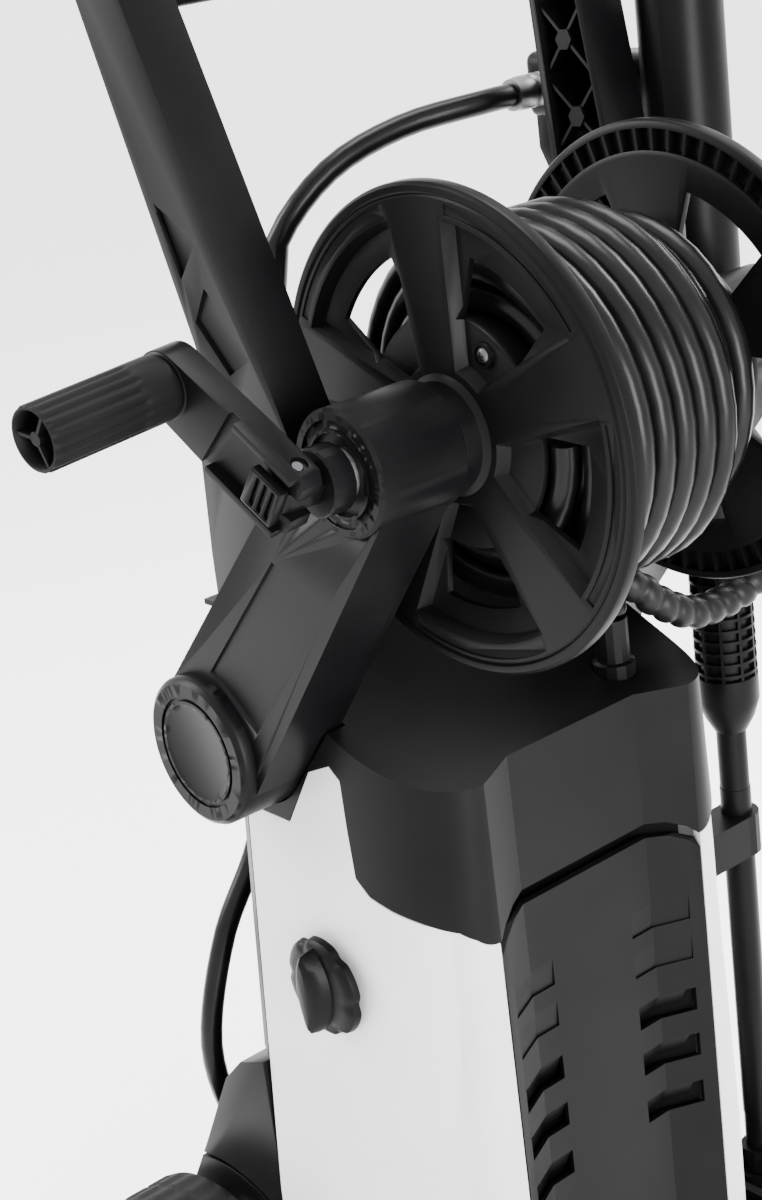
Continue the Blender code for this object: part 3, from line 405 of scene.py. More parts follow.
def smooth_route(points, step):
    """Evenly spaced points on a Catmull-Rom curve through a few chosen ones."""
    ends = [2 * points[0] - points[1], *points, 2 * points[-1] - points[-2]]
    fine = []
    for i in range(1, len(ends) - 2):
        p0, p1, p2, p3 = ends[i - 1 : i + 3]
        for k in range(40):
            t = k / 40
            bend = 2 * p0 - 5 * p1 + 4 * p2 - p3
            twist = 3 * p1 - p0 - 3 * p2 + p3
            fine.append(0.5 * (2 * p1 + (p2 - p0) * t + bend * t * t + twist * t * t * t))
    fine.append(points[-1])
    length = sum((b - a).length for a, b in zip(fine, fine[1:]))
    count = max(2, round(length / step))
    spaced, walked, wanted = [fine[0]], 0.0, length / count
    for a, b in zip(fine, fine[1:]):
        span = (b - a).length
        while walked + span >= wanted and len(spaced) < count:
            spaced.append(a.lerp(b, (wanted - walked) / span))
            wanted += length / count
        walked += span
    return [*spaced, fine[-1]]


def length_of(points):
    return sum((b - a).length for a, b in zip(points, points[1:]))


def hoops(path, radius_at, sides, side):
    """Rings about a path. radius_at gives the radius from the distance walked and the part of a turn."""
    rings, walked = [], 0.0
    for i, point in enumerate(path):
        ahead, behind = path[min(i + 1, len(path) - 1)], path[max(i - 1, 0)]
        direction = (ahead - behind).normalized()
        side = (side - direction * side.dot(direction)).normalized()
        other = direction.cross(side)
        walked += (point - behind).length if i else 0.0
        ring = []
        for k in range(sides):
            angle = math.tau * k / sides
            spoke = side * math.cos(angle) + other * math.sin(angle)
            ring.append(point + spoke * radius_at(walked, k / sides))
        rings.append(ring)
    return rings


# ---- cords ------------------------------------------------------------------------------------------
def hose_curve(name, points, body, stands_for):
    curve = bpy.data.curves.new(name, "CURVE")
    curve.dimensions = "3D"
    curve.bevel_depth = HOSE_R
    curve.bevel_resolution = 5
    curve.use_fill_caps = True
    spline = curve.splines.new("POLY")
    spline.points.add(len(points) - 1)
    spline.use_smooth = True
    for knot, point in zip(spline.points, points):
        knot.co = (*(point + AXIS), 1)
    curve.materials.append(HOSE)
    obj = bpy.data.objects.new(name, curve)
    bpy.context.scene.collection.objects.link(obj)
    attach(obj, body)
    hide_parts(stands_for)
    return obj


def strand_route():
    """The hose off the back of the winding, down behind the base, and up to the gun."""
    route = [
        (0.038, 0.002, -0.0960),
        (0.038, 0.035, -0.0975),
        (0.038, 0.080, -0.0985),
        (0.038, 0.125, -0.0955),
        (0.040, 0.168, -0.0880),
        (0.044, 0.205, -0.0980),
        (0.049, 0.230, -0.1350),
        (0.053, 0.240, -0.2000),
        (0.055, 0.243, -0.2800),
        (0.050, 0.246, -0.3600),
        (0.032, 0.252, -0.4350),
        (-0.004, 0.260, -0.4800),
        (-0.048, 0.264, -0.4960),
        (-0.088, 0.257, -0.4880),
        (-0.109, 0.246, -0.4560),
        (-0.1165, 0.240, -0.4030),
        (-0.096, 0.239, -0.3420),
        (-0.062, 0.238, -0.2900),
        (-0.042, 0.236, -0.2150),
        (-0.035, 0.231, -0.1300),
        (-0.029, 0.222, -0.0400),
        (-0.016, 0.207, 0.0400),
        (-0.013, 0.200, 0.0670),
        (0.019, 0.190, 0.0970),
        (0.063, 0.178, 0.1125),
        (0.108, 0.160, 0.1180),
        (0.1292, 0.160, 0.1180),
    ]
    return [Vector(point) for point in route]


def winding_points():
    """The hose on the drum: three layers, laid to and fro, with the outermost one only part full."""
    # Each layer's radius, where it starts and ends across the drum, and its turns.
    layers = [(0.0610, -0.0632, 0.0560, 9), (0.0744, 0.0560, -0.0563, 8), (0.0876, -0.0560, 0.0190, 5.4)]
    a_turn = 40
    points, angle = [], 0.0
    for index, (radius, start, end, turns) in enumerate(layers):
        steps = round(turns * a_turn)
        for k in range(steps):
            t = k / steps
            x = start + (end - start) * t
            lift = 0.0003 * math.sin(3 * angle) if index == 2 else 0
            blend_in = min(1.0, t * turns / 0.35)
            below = layers[index - 1][0] if index else radius
            r = below + (radius - below) * (3 - 2 * blend_in) * blend_in**2 + lift
            points.append(Vector((x, -r * math.cos(angle), -r * math.sin(angle))))
            angle += math.tau / a_turn
    return points


def add_cords():
    winding = winding_points()
    wound = hose_curve("wound_hose_turns", winding, "reel", "wound_hose")
    route = smooth_route(strand_route(), 0.012)
    strand = hose_curve("hose_strand", route, "chassis", "free_hose")
    ferrule = [(0, 0.1598), (0.0084, 0.1598), (0.0096, 0.1575), (0.0096, 0.1520), (0.0088, 0.1505)]
    ferrule += [(0.0096, 0.1490), (0.0096, 0.1450), (0.0089, 0.1435), (0.0096, 0.1420), (0.0096, 0.1350)]
    ferrule += [(0.0089, 0.1300), (0, 0.1300)]
    crimp = lathe("hose_crimp", ferrule, "X", (0, 0.160, 0.118), 48)
    place(crimp, CRIMP, "chassis", "bright_steel", ["hose_ferrule"])


# ---- reel -------------------------------------------------------------------------------------------
def polar(radius, angle, x):
    """A point about the reel's axis. The angle starts at the top and goes towards the front."""
    return Vector((x, -radius * math.sin(angle), radius * math.cos(angle)))


def gap_outline(inner, outer, half_hub, half_rim, inset, x, middle, count=14):
    """The outline of a gap between two spokes, drawn in by inset."""
    half = math.pi / SPOKES
    low, high = inner + inset, outer - inset
    first = half - math.asin(min(0.99, (half_hub + inset) / low))
    last = half - math.asin((half_rim + inset) / high)
    ring = [polar(high, middle - last + 2 * last * i / count, x) for i in range(count + 1)]
    foot = [polar(low, middle + first - 2 * first * i / 6, x) for i in range(7)]
    return ring + foot


def sector(inner, outer, inner_half, outer_half, x, middle, count):
    """The outline of a piece of a ring, between two radii and either side of a middle angle."""
    far = [polar(outer, middle - outer_half + 2 * outer_half * k / count, x) for k in range(count + 1)]
    near = [polar(inner, middle + inner_half - 2 * inner_half * k / count, x) for k in range(count + 1)]
    return far + near


def flange_cuts(face):
    """The pockets between the spokes, the windows through them and the grooves outside them."""
    pockets, windows, grooves = [], [], []
    window, groove = math.radians(17.5), math.radians(24.5)
    for i in range(SPOKES):
        middle = SPOKE_TURN + math.pi / SPOKES + math.tau * i / SPOKES
        levels = [(-0.0830, -0.0006), (-face, 0.0), (-0.0742, 0.0032)]
        rings = [gap_outline(0.0335, 0.1035, 0.0125, 0.0182, inset, x, middle) for x, inset in levels]
        pockets.append(skin("pocket", rings))
        rings = [sector(0.0575, 0.0880, 1.15 * window, window, x, middle, 12) for x in (-0.0600, -0.0800)]
        windows.append(skin("window", rings))
        rings = [sector(0.1063, 0.1112, groove, groove, x, middle, 24) for x in (-0.0795, -0.0830)]
        grooves.append(skin("groove", rings))
    return pockets + windows + grooves


def flange_rib(index, count):
    """One of the short ribs round the rim's inner face."""
    angle = math.tau * index / count
    inner, outer, half_in, half_out = 0.1040, 0.1160, 0.0085, 0.0075
    corners = ((inner, -half_in), (outer, -half_out), (outer, half_out), (inner, half_in))
    ring = [polar(radius, angle + turn, -0.0764) for radius, turn in corners]
    return skin("rib", [ring, [point + Vector((0.0046, 0, 0)) for point in ring]])


def flange_screw(index):
    """A cross-slotted screw, and the raised ring about it."""
    spot = polar(0.0475, SPOKE_TURN + math.pi / SPOKES + math.pi * index, 0)
    head = [(0, 0.0772), (0.0016, 0.0771), (0.0034, 0.0763), (0.0043, 0.0748), (0.0043, 0.0741), (0, 0.0741)]
    screw = lathe("screw", head, "-X", spot, 32)
    slots = []
    for y, z in ((0.0022, 0.00045), (0.00045, 0.0022)):
        slots.append(box("slot", (-0.0785, spot.y - y, spot.z - z), (-0.0758, spot.y + y, spot.z + z)))
    combine(screw, slots)
    ring = [(0.0066, 0.0741), (0.0062, 0.0762), (0.0046, 0.0762), (0.0046, 0.0741)]
    return screw, lathe("boss", ring, "-X", spot, 32, ring=True)


def add_flanges():
    """The left flange and its screws, and their twins on the right, whose ribbed inner face shows."""
    face = 0.0804
    profile = [(0.0124, 0.0934), (0.0262, 0.0934), (0.0270, 0.0926), (0.0270, 0.0830), (0.0300, face)]
    profile += [(0.1128, face), (0.1138, 0.0795), (0.1150, 0.0806), (0.1180, 0.0806), (0.1196, 0.0792)]
    profile += [(FLANGE_R, 0.0775), (FLANGE_R, 0.0735), (0.1190, 0.0722), (0.1165, 0.0716)]
    profile += [(0.1156, 0.0716), (0.1156, 0.0760), (0.1046, 0.0760), (0.1046, 0.0712), (0.1020, 0.0708)]
    profile += [(0.0330, 0.0708), (0.0300, 0.0690), (0.0290, 0.0610), (0.0124, 0.0610)]
    flange = lathe("flange", profile, "-X", steps=160, ring=True)
    combine(flange, flange_cuts(face))
    soften(flange, 0.0007)
    ribs = [flange_rib(i, 64) for i in range(64)]
    screws, bosses = zip(*[flange_screw(i) for i in range(2)])
    flange = merged("flange_left", [flange, *ribs, *bosses])
    screws = merged("reel_screws_left", screws)
    place_pair(flange, BLACK, ("reel", "reel"), "black_moulding", "reel_flange")
    place_pair(screws, SCREW, ("reel", "reel"), "bright_steel")


# ---- arms -------------------------------------------------------------------------------------------
def arm_outline(margin=0.0, count=28):
    """The reel arm from the side: a bar that widens from the bearing housing to its root."""
    down = math.atan2(ROOT.z, ROOT.y)
    spread = math.asin((ROOT_R - HOUSING_R) / math.hypot(ROOT.y, ROOT.z))
    start = math.degrees(down + math.pi / 2 + spread)
    end = math.degrees(down + math.pi * 1.5 - spread)
    head = arc(0, 0, HOUSING_R + margin, start, end, count)
    root = arc(ROOT.y, ROOT.z, ROOT_R + margin, end - 360, start, count)
    return head + root


def add_arms():
    arm = prism("arm_left", arm_outline(-0.0003), -0.143, -0.100)
    housing = [(0, 0.1480), (0.0296, 0.1480), (0.0311, 0.1460)]
    housing += [(0.0311, 0.0965), (0.0290, 0.0945), (0, 0.0945)]
    housing = lathe("housing", housing, "-X")
    cap = [(0, 0.1505), (0.0385, 0.1515), (0.0408, 0.1500), (0.0418, 0.1480), (0.0418, 0.1100), (0, 0.1100)]
    cap = lathe("cap", cap, "-X", ROOT, 96)
    combine(arm, [housing, cap], "UNION")
    panel = [(0.068, -0.056), (0.026, -0.070), (0.103, -0.158), (0.138, -0.131)]
    middle = Vector((sum(p[0] for p in panel) / 4, sum(p[1] for p in panel) / 4))
    shrink = [tuple(middle + (Vector(p) - middle) * 0.96) for p in panel]
    floor = [Vector((-0.1414, *p)) for p in shrink]
    mouth = [Vector((-0.1436, *p)) for p in panel]
    cuts = [skin("panel", [floor, mouth])]
    bore = [(0.0124, 0.0800), (0.0124, 0.1450), (0.0200, 0.1450), (0.0200, 0.1600), (0, 0.1600), (0, 0.0800)]
    cuts.append(lathe("bore", bore[::-1], "-X", steps=64))
    ring = [(0.0215, 0.1468), (0.0260, 0.1468), (0.0260, 0.1600), (0.0215, 0.1600)]
    cuts.append(lathe("end_ring", ring[::-1], "-X", steps=80, ring=True))
    groove = [(0.0290, 0.1497), (0.0312, 0.1497), (0.0312, 0.1600), (0.0290, 0.1600)]
    cuts.append(lathe("cap_ring", groove[::-1], "-X", ROOT, 80, ring=True))
    dish = [(0, 0.1600), (0.0272, 0.1600), (0.0272, 0.1512), (0.0240, 0.1500), (0, 0.1492)]
    cuts.append(lathe("cap_dish", dish, "-X", ROOT, 80))
    combine(arm, cuts)
    soften(arm, 0.0014, 3)
    place_pair(arm, BLACK, ("chassis", "chassis"), "black_moulding", "reel_arm")


# ---- crank ------------------------------------------------------------------------------------------
CRANK_REACH = 0.079
GRIP_FOOT, GRIP_TOP = 0.0090, 0.0821
GRIP_SEAT = (CRANK_REACH, 0, 0)


def crank_frame():
    """The crank's frame on its fold pin: X along the arm, Y along the pin, Z outward."""
    pin = Vector(JOINTS["crank_fold"]["axis"])
    outward = Vector(JOINTS["grip_spin"]["axis"])
    along = Vector(JOINTS["latch_slide"]["axis"])
    turn = Matrix((along, -pin, outward)).transposed().to_4x4()
    return Matrix.Translation(Vector(JOINTS["crank_fold"]["pos_m"]) - AXIS) @ turn


def crank_outline():
    hub, tip = 0.0185, 0.0168
    outline = [(-0.0105, -hub + 0.005), (-0.0065, -hub), (0.030, -hub)]
    outline += arc(CRANK_REACH, 0, tip, -86, 86, 24)
    return outline + [(0.030, hub), (-0.0065, hub), (-0.0105, hub - 0.005)]


def crank_lever():
    """The lever with its step, fork and latch rails, and the spindle that carries the grip."""
    arm = prism("crank_lever", crank_outline(), -0.0075, 0.0075, "Z")
    step = [(-0.012, -0.030), (0.0370, -0.030), (0.0470, 0.030), (-0.012, 0.030)]
    cuts = [prism("step", step, 0.0048, 0.02, "Z")]
    cuts.append(box("fork", (-0.03, -0.0064, -0.02), (0.0078, 0.0064, 0.02)))
    cuts.append(rod("pin_hole", 0.0042, -0.0300, -0.0168, "Y", (0, 0, -0.0010), 24))
    combine(arm, cuts)
    rails = [box("rail", (-0.0065, -0.0185, 0.0040), (0.0330, -0.0150, 0.0100))]
    rails.append(box("rail", (-0.0065, 0.0150, 0.0040), (0.0400, 0.0185, 0.0100)))
    combine(arm, rails, "UNION")
    soften(arm, 0.0016, 3)
    collar = [(0, 0.0084), (0.0150, 0.0084), (0.0162, 0.0075), (0.0162, 0.0040), (0, 0.0040)]
    collar = lathe("collar", collar, "Z", GRIP_SEAT, 64)
    spindle = rod("spindle", 0.0039, 0.004, 0.045, "Z", GRIP_SEAT, 24)
    return merged("crank_lever", [arm, collar, spindle])


def fold_latch():
    latch = box("latch", (-0.0060, -0.0105, 0.0079), (0.0140, 0.0105, 0.0135))
    cuts = [box("slit", (x, -0.0085, 0.0105), (x + 0.0028, 0.0085, 0.02)) for x in (-0.0035, 0.0015, 0.0065)]
    combine(latch, cuts)
    return soften(latch, 0.0009)


def grip_flutes(angle, radius, height):
    """How far the grip's flutes go in."""
    start = GRIP_FOOT + 0.017
    if radius < 0.0145 or not start < height < GRIP_TOP - 0.0012:
        return 0.0
    fade = min(1.0, (height - start) / 0.004)
    return -0.0011 * fade * (0.5 + 0.5 * math.cos(18 * angle)) ** 1.6


def fluted_grip():
    """The hollow grip, with three ribs and a boss inside its end."""
    low, top = GRIP_FOOT, GRIP_TOP
    outside = [(0.0152, low), (0.0158, low + 0.001), (0.0160, low + 0.004), (0.0160, low + 0.0165)]
    outside += [(0.0160, low + 0.018 + 0.001 * i) for i in range(6)]
    outside += [(0.0160, top - 0.004), (0.0160, top - 0.0016), (0.0152, top - 0.0002), (0.0142, top)]
    outside += [(0.0134, top - 0.001), (0.0130, top - 0.012), (0.0043, top - 0.012), (0.0043, low)]
    grip = lathe("grip", outside[::-1], "Z", GRIP_SEAT, 144, ring=True, ripple=grip_flutes)
    ribs = []
    for i in range(3):
        rib = box("rib", (0.003, -0.0008, top - 0.013), (0.0134, 0.0008, top - 0.0012))
        rib.data.transform(Matrix.Translation(GRIP_SEAT) @ Matrix.Rotation(math.tau * i / 3 + 0.5, 4, "Z"))
        ribs.append(rib)
    hub = rod("rib_hub", 0.0034, top - 0.013, top - 0.0012, "Z", GRIP_SEAT, 24)
    return merged("grip", [grip, *ribs, hub])


def add_crank():
    arm, latch, grip = crank_lever(), fold_latch(), fluted_grip()
    for piece in (arm, latch, grip):
        piece.data.transform(crank_frame())
    place(arm, BLACK, "crank", "black_moulding", ["crank_arm"])
    place(latch, BLACK, "latch", "grey_moulding", ["crank_latch"])
    place(grip, GRIP, "grip", "soft_rubber", ["crank_grip"])


# ---- body -------------------------------------------------------------------------------------------
RIDGE_X, FACET_X = 0.076, 0.047
FRONT_Y, FACET_Y = 0.008, 0.0215
BACK_Y = 0.205
BODY_FOOT = FLOOR + 0.128
WALL = 0.003
LIP = 0.0055


def half_width(z):
    """The body widens towards the floor."""
    return min(0.134, 0.122 + 0.075 * (KNOB.z - z))


def corner_curve(z, inset=0.0, count=26):
    """The body's side in plan, from the front ridge to the widest place, for x > 0."""
    wide, power = half_width(z) - inset, 0.88
    points = []
    for i in range(count + 1):
        s = math.pi / 2 * i / count
        x = RIDGE_X + (wide - RIDGE_X) * math.sin(s) ** power
        y = KNOB.y - (KNOB.y - FRONT_Y - inset) * max(0.0, math.cos(s)) ** power
        points.append((x, y))
    return points


def rear_curve(z, inset=0.0, count=14):
    """The rear corner in plan, for x > 0."""
    reach, start = 0.055, 0.150
    middle, depth = half_width(z) - inset - reach, BACK_Y - inset - start
    angles = [math.pi / 2 * i / count for i in range(count + 1)]
    return [(middle + reach * math.cos(s), start + depth * math.sin(s)) for s in angles]


def body_plan(z, inset=0.0):
    front = [(-RIDGE_X + inset * 0.3, FRONT_Y + inset), (-FACET_X + inset * 0.4, FACET_Y + inset)]
    front += [(-x, y) for x, y in front[::-1]]
    side = corner_curve(z, inset)[1:] + rear_curve(z, inset)
    return front + side + [(-x, y) for x, y in reversed(side)]


def stacked(name, levels, section):
    return skin(name, [[Vector((x, y, z)) for x, y in section(z)] for z in levels])


def skirt_edge():
    """The hood's lower edge from the side, from the front corner to behind the arm's root."""
    edge = [(0.008, -0.276), (0.011, -0.270), (0.016, -0.2645), (0.0335, -0.259), (0.048, -0.2555)]
    edge += [(0.063, -0.2505), (0.0725, -0.2420), (0.0765, -0.2150), (0.0795, -0.1890), (0.0880, -0.1825)]
    return edge + [(0.105, -0.1900), (0.125, -0.2240), (0.172, -0.2240), (0.240, -0.2000)]


def clear_arms(obj):
    """Makes room for both reel arms."""
    cuts = []
    for side in (-1, 1):
        reach = sorted((side * 0.0985, side * 0.2))
        cuts.append(prism(f"clear_{side}", arm_outline(0.0015), *reach))
    return combine(obj, cuts)


def add_hood():
    levels = [-0.285 + 0.0165 * i for i in range(11)]
    hood = stacked("hood_shell", levels, body_plan)
    inside = [-0.300, *levels[1:-1], levels[-1] - WALL]
    hollow = stacked("hollow", inside, lambda z: body_plan(z, WALL))
    combine(hollow, [rod("hollow_top", CRADLE_R + WALL, -0.2, 0.2, "X", steps=200)])
    cuts = [hollow, rod("cradle", CRADLE_R, -0.2, 0.2, "X", steps=200)]
    edge = skirt_edge()
    cuts.append(prism("skirt", [(-0.05, -0.276), *edge, (0.240, -0.7), (-0.05, -0.7)], -0.2, 0.2))
    cuts.append(box("back", (-0.2, 0.1625, -0.4), (0.2, 0.3, 0.1)))
    cuts.append(rod("port", 0.0125, -0.02, 0.03, "Z", HOSE_PORT, 40))
    combine(hood, cuts)
    clear_arms(hood)
    soften(hood, 0.0011, 2, 18)
    moulded(hood, "hood", look=HOOD_BLACK, sharp=14)


def add_side_cover(side, name):
    def section(z):
        start = RIDGE_X + 0.0008
        outer = [(start, FRONT_Y), *corner_curve(z)[1:], (half_width(z), 0.130), (half_width(z), 0.163)]
        inner = [(start, FRONT_Y + LIP), *corner_curve(z, LIP)[1:]]
        inner += [(half_width(z) - LIP, 0.130), (half_width(z) - LIP, 0.163)]
        return [(side * x, y) for x, y in outer + inner[::-1]]

    levels = [BODY_FOOT + (-0.175 - BODY_FOOT) * i / 40 for i in range(41)]
    cover = stacked(name, levels, section)
    edge = [(y, z - 0.0009) for y, z in skirt_edge()]
    cuts = [prism("top", [(-0.05, -0.2770), *edge, (0.240, 0.1), (-0.05, 0.1)], -0.2, 0.2)]
    if side < 0:
        cuts.append(rod("knob_hole", 0.0046, -0.02, 0.02, "X", KNOB, 24))
    combine(cover, cuts)
    relief(cover, side)
    soften(cover, 0.0020, 1, 50)
    node = "side_cover_left" if side < 0 else "side_cover_right"
    place(cover, WHITE, "chassis", "white_moulding", [node], 30)


def relief(cover, side):
    """Three shallow flowing steps pressed into the lower front of a side cover."""
    for vertex in cover.data.vertices:
        x, y, z = vertex.co
        if not RIDGE_X + 0.002 < abs(x) < half_width(z) + WALL:
            continue
        back = max(0.0, y - 0.020)
        depth = 0.0
        for k in range(3):
            crest = -0.335 - 0.050 * k - 0.75 * back + 0.0016 / (0.012 + back)
            rise = (crest - z) / 0.004
            depth += 0.0022 / (1 + math.exp(-max(-30.0, min(30.0, rise))))
        depth *= min(1.0, max(0.0, (0.150 - y) / 0.03)) * min(1.0, max(0.0, (y - 0.010) / 0.012))
        vertex.co.x -= side * depth
        vertex.co.y += 0.4 * depth


BLIND_LOUVRES = (-0.3275, -0.3530)
OPEN_LOUVRES = (-0.3865, -0.4165, -0.4480)
LOUVRE_NEAR, LOUVRE_FAR = FACET_X - 0.0165, FACET_X + 0.0205
LOUVRE_HEIGHT = 0.0145


def add_front_panel():
    def section(z):
        outer = [(-RIDGE_X, FRONT_Y), (-FACET_X, FACET_Y), (FACET_X, FACET_Y), (RIDGE_X, FRONT_Y)]
        inner = [(x * 0.985, y + WALL) for x, y in outer]
        return outer + inner[::-1]

    def behind(z):
        return [(x * 0.9, y + 0.0085) for x, y in section(z)]

    panel = stacked("panel", [BODY_FOOT, -0.255], section)
    edge = [(y, z - 0.0085) for y, z in skirt_edge()[:6]]
    above = [(-0.05, edge[0][1] - 0.001), *edge, (0.063, 0.2), (-0.05, 0.2)]
    cuts = [prism("panel_top", above, -0.2, 0.2)]
    cuts += [blind_louvre(side, z) for z in BLIND_LOUVRES for side in (-1, 1)]
    for z in OPEN_LOUVRES:
        for side in (-1, 1):
            near, far = sorted((side * LOUVRE_NEAR, side * LOUVRE_FAR))
            cuts.append(box("louvre", (near, -0.02, z), (far, 0.06, z + LOUVRE_HEIGHT)))
    combine(panel, cuts)
    soften(panel, 0.0007, 2, 18)
    slats = [louvre_slat(side, z) for z in OPEN_LOUVRES for side in (-1, 1)]
    panel = merged("louvre_panel", [panel, *slats])
    # A near-black sheet just behind the panel: painted shade that fills the louvre gaps where the inside of
    # the body would be dark.
    shade_sheet = stacked("louvre_shade_sheet", [BODY_FOOT, -0.250], behind)
    moulded(shade_sheet, look=SHADE_BLACK)
    moulded(panel, "front_panel", look=HOOD_BLACK, sharp=14)


def facet_line(x):
    """The front panel's depth at a distance from the centre plane."""
    return FACET_Y - (FACET_Y - FRONT_Y) * max(0.0, x - FACET_X) / (RIDGE_X - FACET_X)


def blind_louvre(side, z):
    """A wedge that lets the upper part of a closed louvre lean back into the panel."""
    rings = []
    for x in (LOUVRE_NEAR, FACET_X, LOUVRE_FAR):
        y = facet_line(x)
        ring = [(y - 0.004, z), (y + 0.0012, z), (y + 0.0001, z + 0.0150), (y - 0.004, z + 0.0155)]
        rings.append([Vector((side * x, a, b)) for a, b in ring])
    return skin("blind", rings)


def louvre_slat(side, z):
    """The sloping blade behind an open louvre, hung from the slot's upper edge."""
    rings = []
    for x in (FACET_X - 0.0160, FACET_X, FACET_X + 0.0150):
        y = facet_line(x)
        ring = [(y + 0.0002, z + 0.0150), (y + 0.0022, z + 0.0150)]
        ring += [(y + 0.0075, z + 0.0040), (y + 0.0055, z + 0.0040)]
        rings.append([Vector((side * x, a, b)) for a, b in ring])
    return skin("slat", rings)


def add_knob():
    def scallop(angle, radius, _height):
        return -0.0022 * max(0.0, math.cos(6 * angle + 0.6)) ** 3 if radius > 0.02 else 0.0

    rim = [(0, 0.0112), (0.0215, 0.0112), (0.0256, 0.0102), (0.0280, 0.0080), (0.0286, 0.0042)]
    rim += [(0.0275, 0.0035), (0, 0.0035)]
    disc = lathe("knob_disc", rim, "-X", KNOB, 96, ripple=scallop)
    # The bar across the knob, by how far out each level is and its half width and half length.
    levels = [(0.0090, 0.0125, 0.0250), (0.0150, 0.0110, 0.0246)]
    levels += [(0.0195, 0.0075, 0.0235), (0.0215, 0.0035, 0.0200)]
    rings = []
    for out, wide, long in levels:
        ring = []
        for k in range(36):
            angle = math.tau * k / 36
            swell = abs(math.cos(angle)) ** 1.5 * math.copysign(1, math.cos(angle))
            ring.append(Vector((KNOB.x - out, KNOB.y + wide * swell, KNOB.z + long * math.sin(angle))))
        rings.append(ring)
    combine(disc, [skin("bar", rings)], "UNION")
    spindle = rod("spindle", 0.004, KNOB.x - 0.006, KNOB.x + 0.020, "X", (0, KNOB.y, KNOB.z), 20)
    combine(disc, [spindle], "UNION")
    soften(disc, 0.0009, 3)
    place(disc, BLACK, "switch_knob", "black_moulding", ["power_knob"])


# ---- uprights ---------------------------------------------------------------------------------------
LEAN, SPLAY, UPRIGHT_TOP = 0.265, 0.1, 0.262
UPRIGHT_OUT, UPRIGHT_IN = -0.136, -0.106
UPRIGHT_WALL = 0.0042
REAR_FOOT, REAR_TOP = (0.1090, 0.049), (0.1480, UPRIGHT_TOP)


def front_edge(height):
    return 0.047 + LEAN * height


def rear_edge(height):
    (y0, z0), (y1, z1) = REAR_FOOT, REAR_TOP
    return y0 + (y1 - y0) * (height - z0) / (z1 - z0)


def splayed(obj):
    """Leans a left-hand shape outward about the height of the reel's axis."""
    for vertex in obj.data.vertices:
        vertex.co.x -= SPLAY * vertex.co.z
    return obj


def brace(y0, z0, y1, z1):
    """A thin web between two points of the upright's channel."""
    run = Vector((y1 - y0, z1 - z0)).normalized() * 0.0009
    y, z = -run.y, run.x
    ring = [(y0 - y, z0 - z), (y1 - y, z1 - z), (y1 + y, z1 + z), (y0 + y, z0 + z)]
    return splayed(prism("brace", ring, -0.1325, -0.1085))


def upright_cuts():
    """The channel on the inner face, and the recesses on the outer one."""
    top, wall = 0.250, UPRIGHT_WALL
    channel = [(front_edge(top) + wall, top), (front_edge(0.034) + wall, 0.034), (0.1055, 0.056)]
    channel += [(0.1458 - wall, top)]
    panel = [(0.1150, 0.1170), (0.0870, 0.1010), (0.1070, 0.0800)]
    slot = [(0.1148, 0.1130), (0.1125, 0.1125), (0.1055, 0.0815), (0.1070, 0.0805)]
    foot = [(0.0895, 0.0775), (0.1035, 0.0590), (0.0850, 0.0340), (0.0660, 0.0440)]
    cuts = [splayed(prism("channel", channel, UPRIGHT_OUT + wall, -0.09))]
    cuts.append(splayed(prism("panel", panel, -0.15, -0.1342)))
    cuts.append(splayed(prism("slot", slot, -0.15, -0.10)))
    cuts.append(splayed(prism("foot_panel", foot, -0.15, -0.1336)))
    return [*cuts, prism("clear", arm_outline(0.0015), -0.2, -0.0985)]


def add_uprights():
    outline = [(front_edge(UPRIGHT_TOP), UPRIGHT_TOP), (front_edge(-0.012), -0.012), (0.1395, -0.1200)]
    outline += [(0.1480, -0.1200), (0.1395, -0.070), (0.1270, -0.012), (0.1130, 0.012), (0.1065, 0.030)]
    outline += [REAR_FOOT, REAR_TOP]
    upright = splayed(prism("upright", outline, UPRIGHT_OUT, UPRIGHT_IN))
    combine(upright, upright_cuts())
    soften(upright, 0.0013)
    ribs = []
    heights = [0.050 + 0.0400 * i for i in range(6)]
    for low, high in zip(heights, heights[1:]):
        ribs.append(brace(front_edge(low) + 0.002, low, rear_edge(high) - 0.002, high))
        ribs.append(brace(rear_edge(low) - 0.002, low, front_edge(high) + 0.002, high))
        middle = (low + high) / 2
        centre = (0, (front_edge(middle) + rear_edge(middle)) / 2, middle)
        ribs.append(splayed(rod("boss", 0.0060, -0.1325, -0.1075, "X", centre, 6)))
    upright = merged("upright_left", [upright, *ribs])
    place_pair(upright, BLACK, ("chassis", "chassis"), "black_moulding", "upright")


# ---- gun, lance and the connecting hose -------------------------------------------------------------
def gun_cuts():
    """The trigger's slot, the lock's hole, the hose's inlet and a round recess on the barrel."""
    cuts = [box("trigger_slot", (GUN.x - 0.0053, GUN.y + 0.0245, 0.080), (GUN.x + 0.0053, 0.150, 0.1215))]
    cuts.append(rod("lock_hole", 0.0043, -0.05, 0.05, "X", (GUN.x, GUN.y, 0.075), 24))
    cuts.append(rod("inlet", 0.0105, -0.03, -0.0075, "X", (GUN.x, 0.160, 0.118), 32))
    toward = Vector((-0.68, -0.73, 0)).normalized()
    spot = GUN + Vector((0, 0, 0.2060)) + toward * BARREL_R
    recess = [(0, 0.004), (0.0085, 0.004), (0.0085, -0.0025), (0.0070, -0.0035), (0, -0.0035)]
    return [*cuts, lathe("round_recess", recess, tuple(toward), spot, 40)]


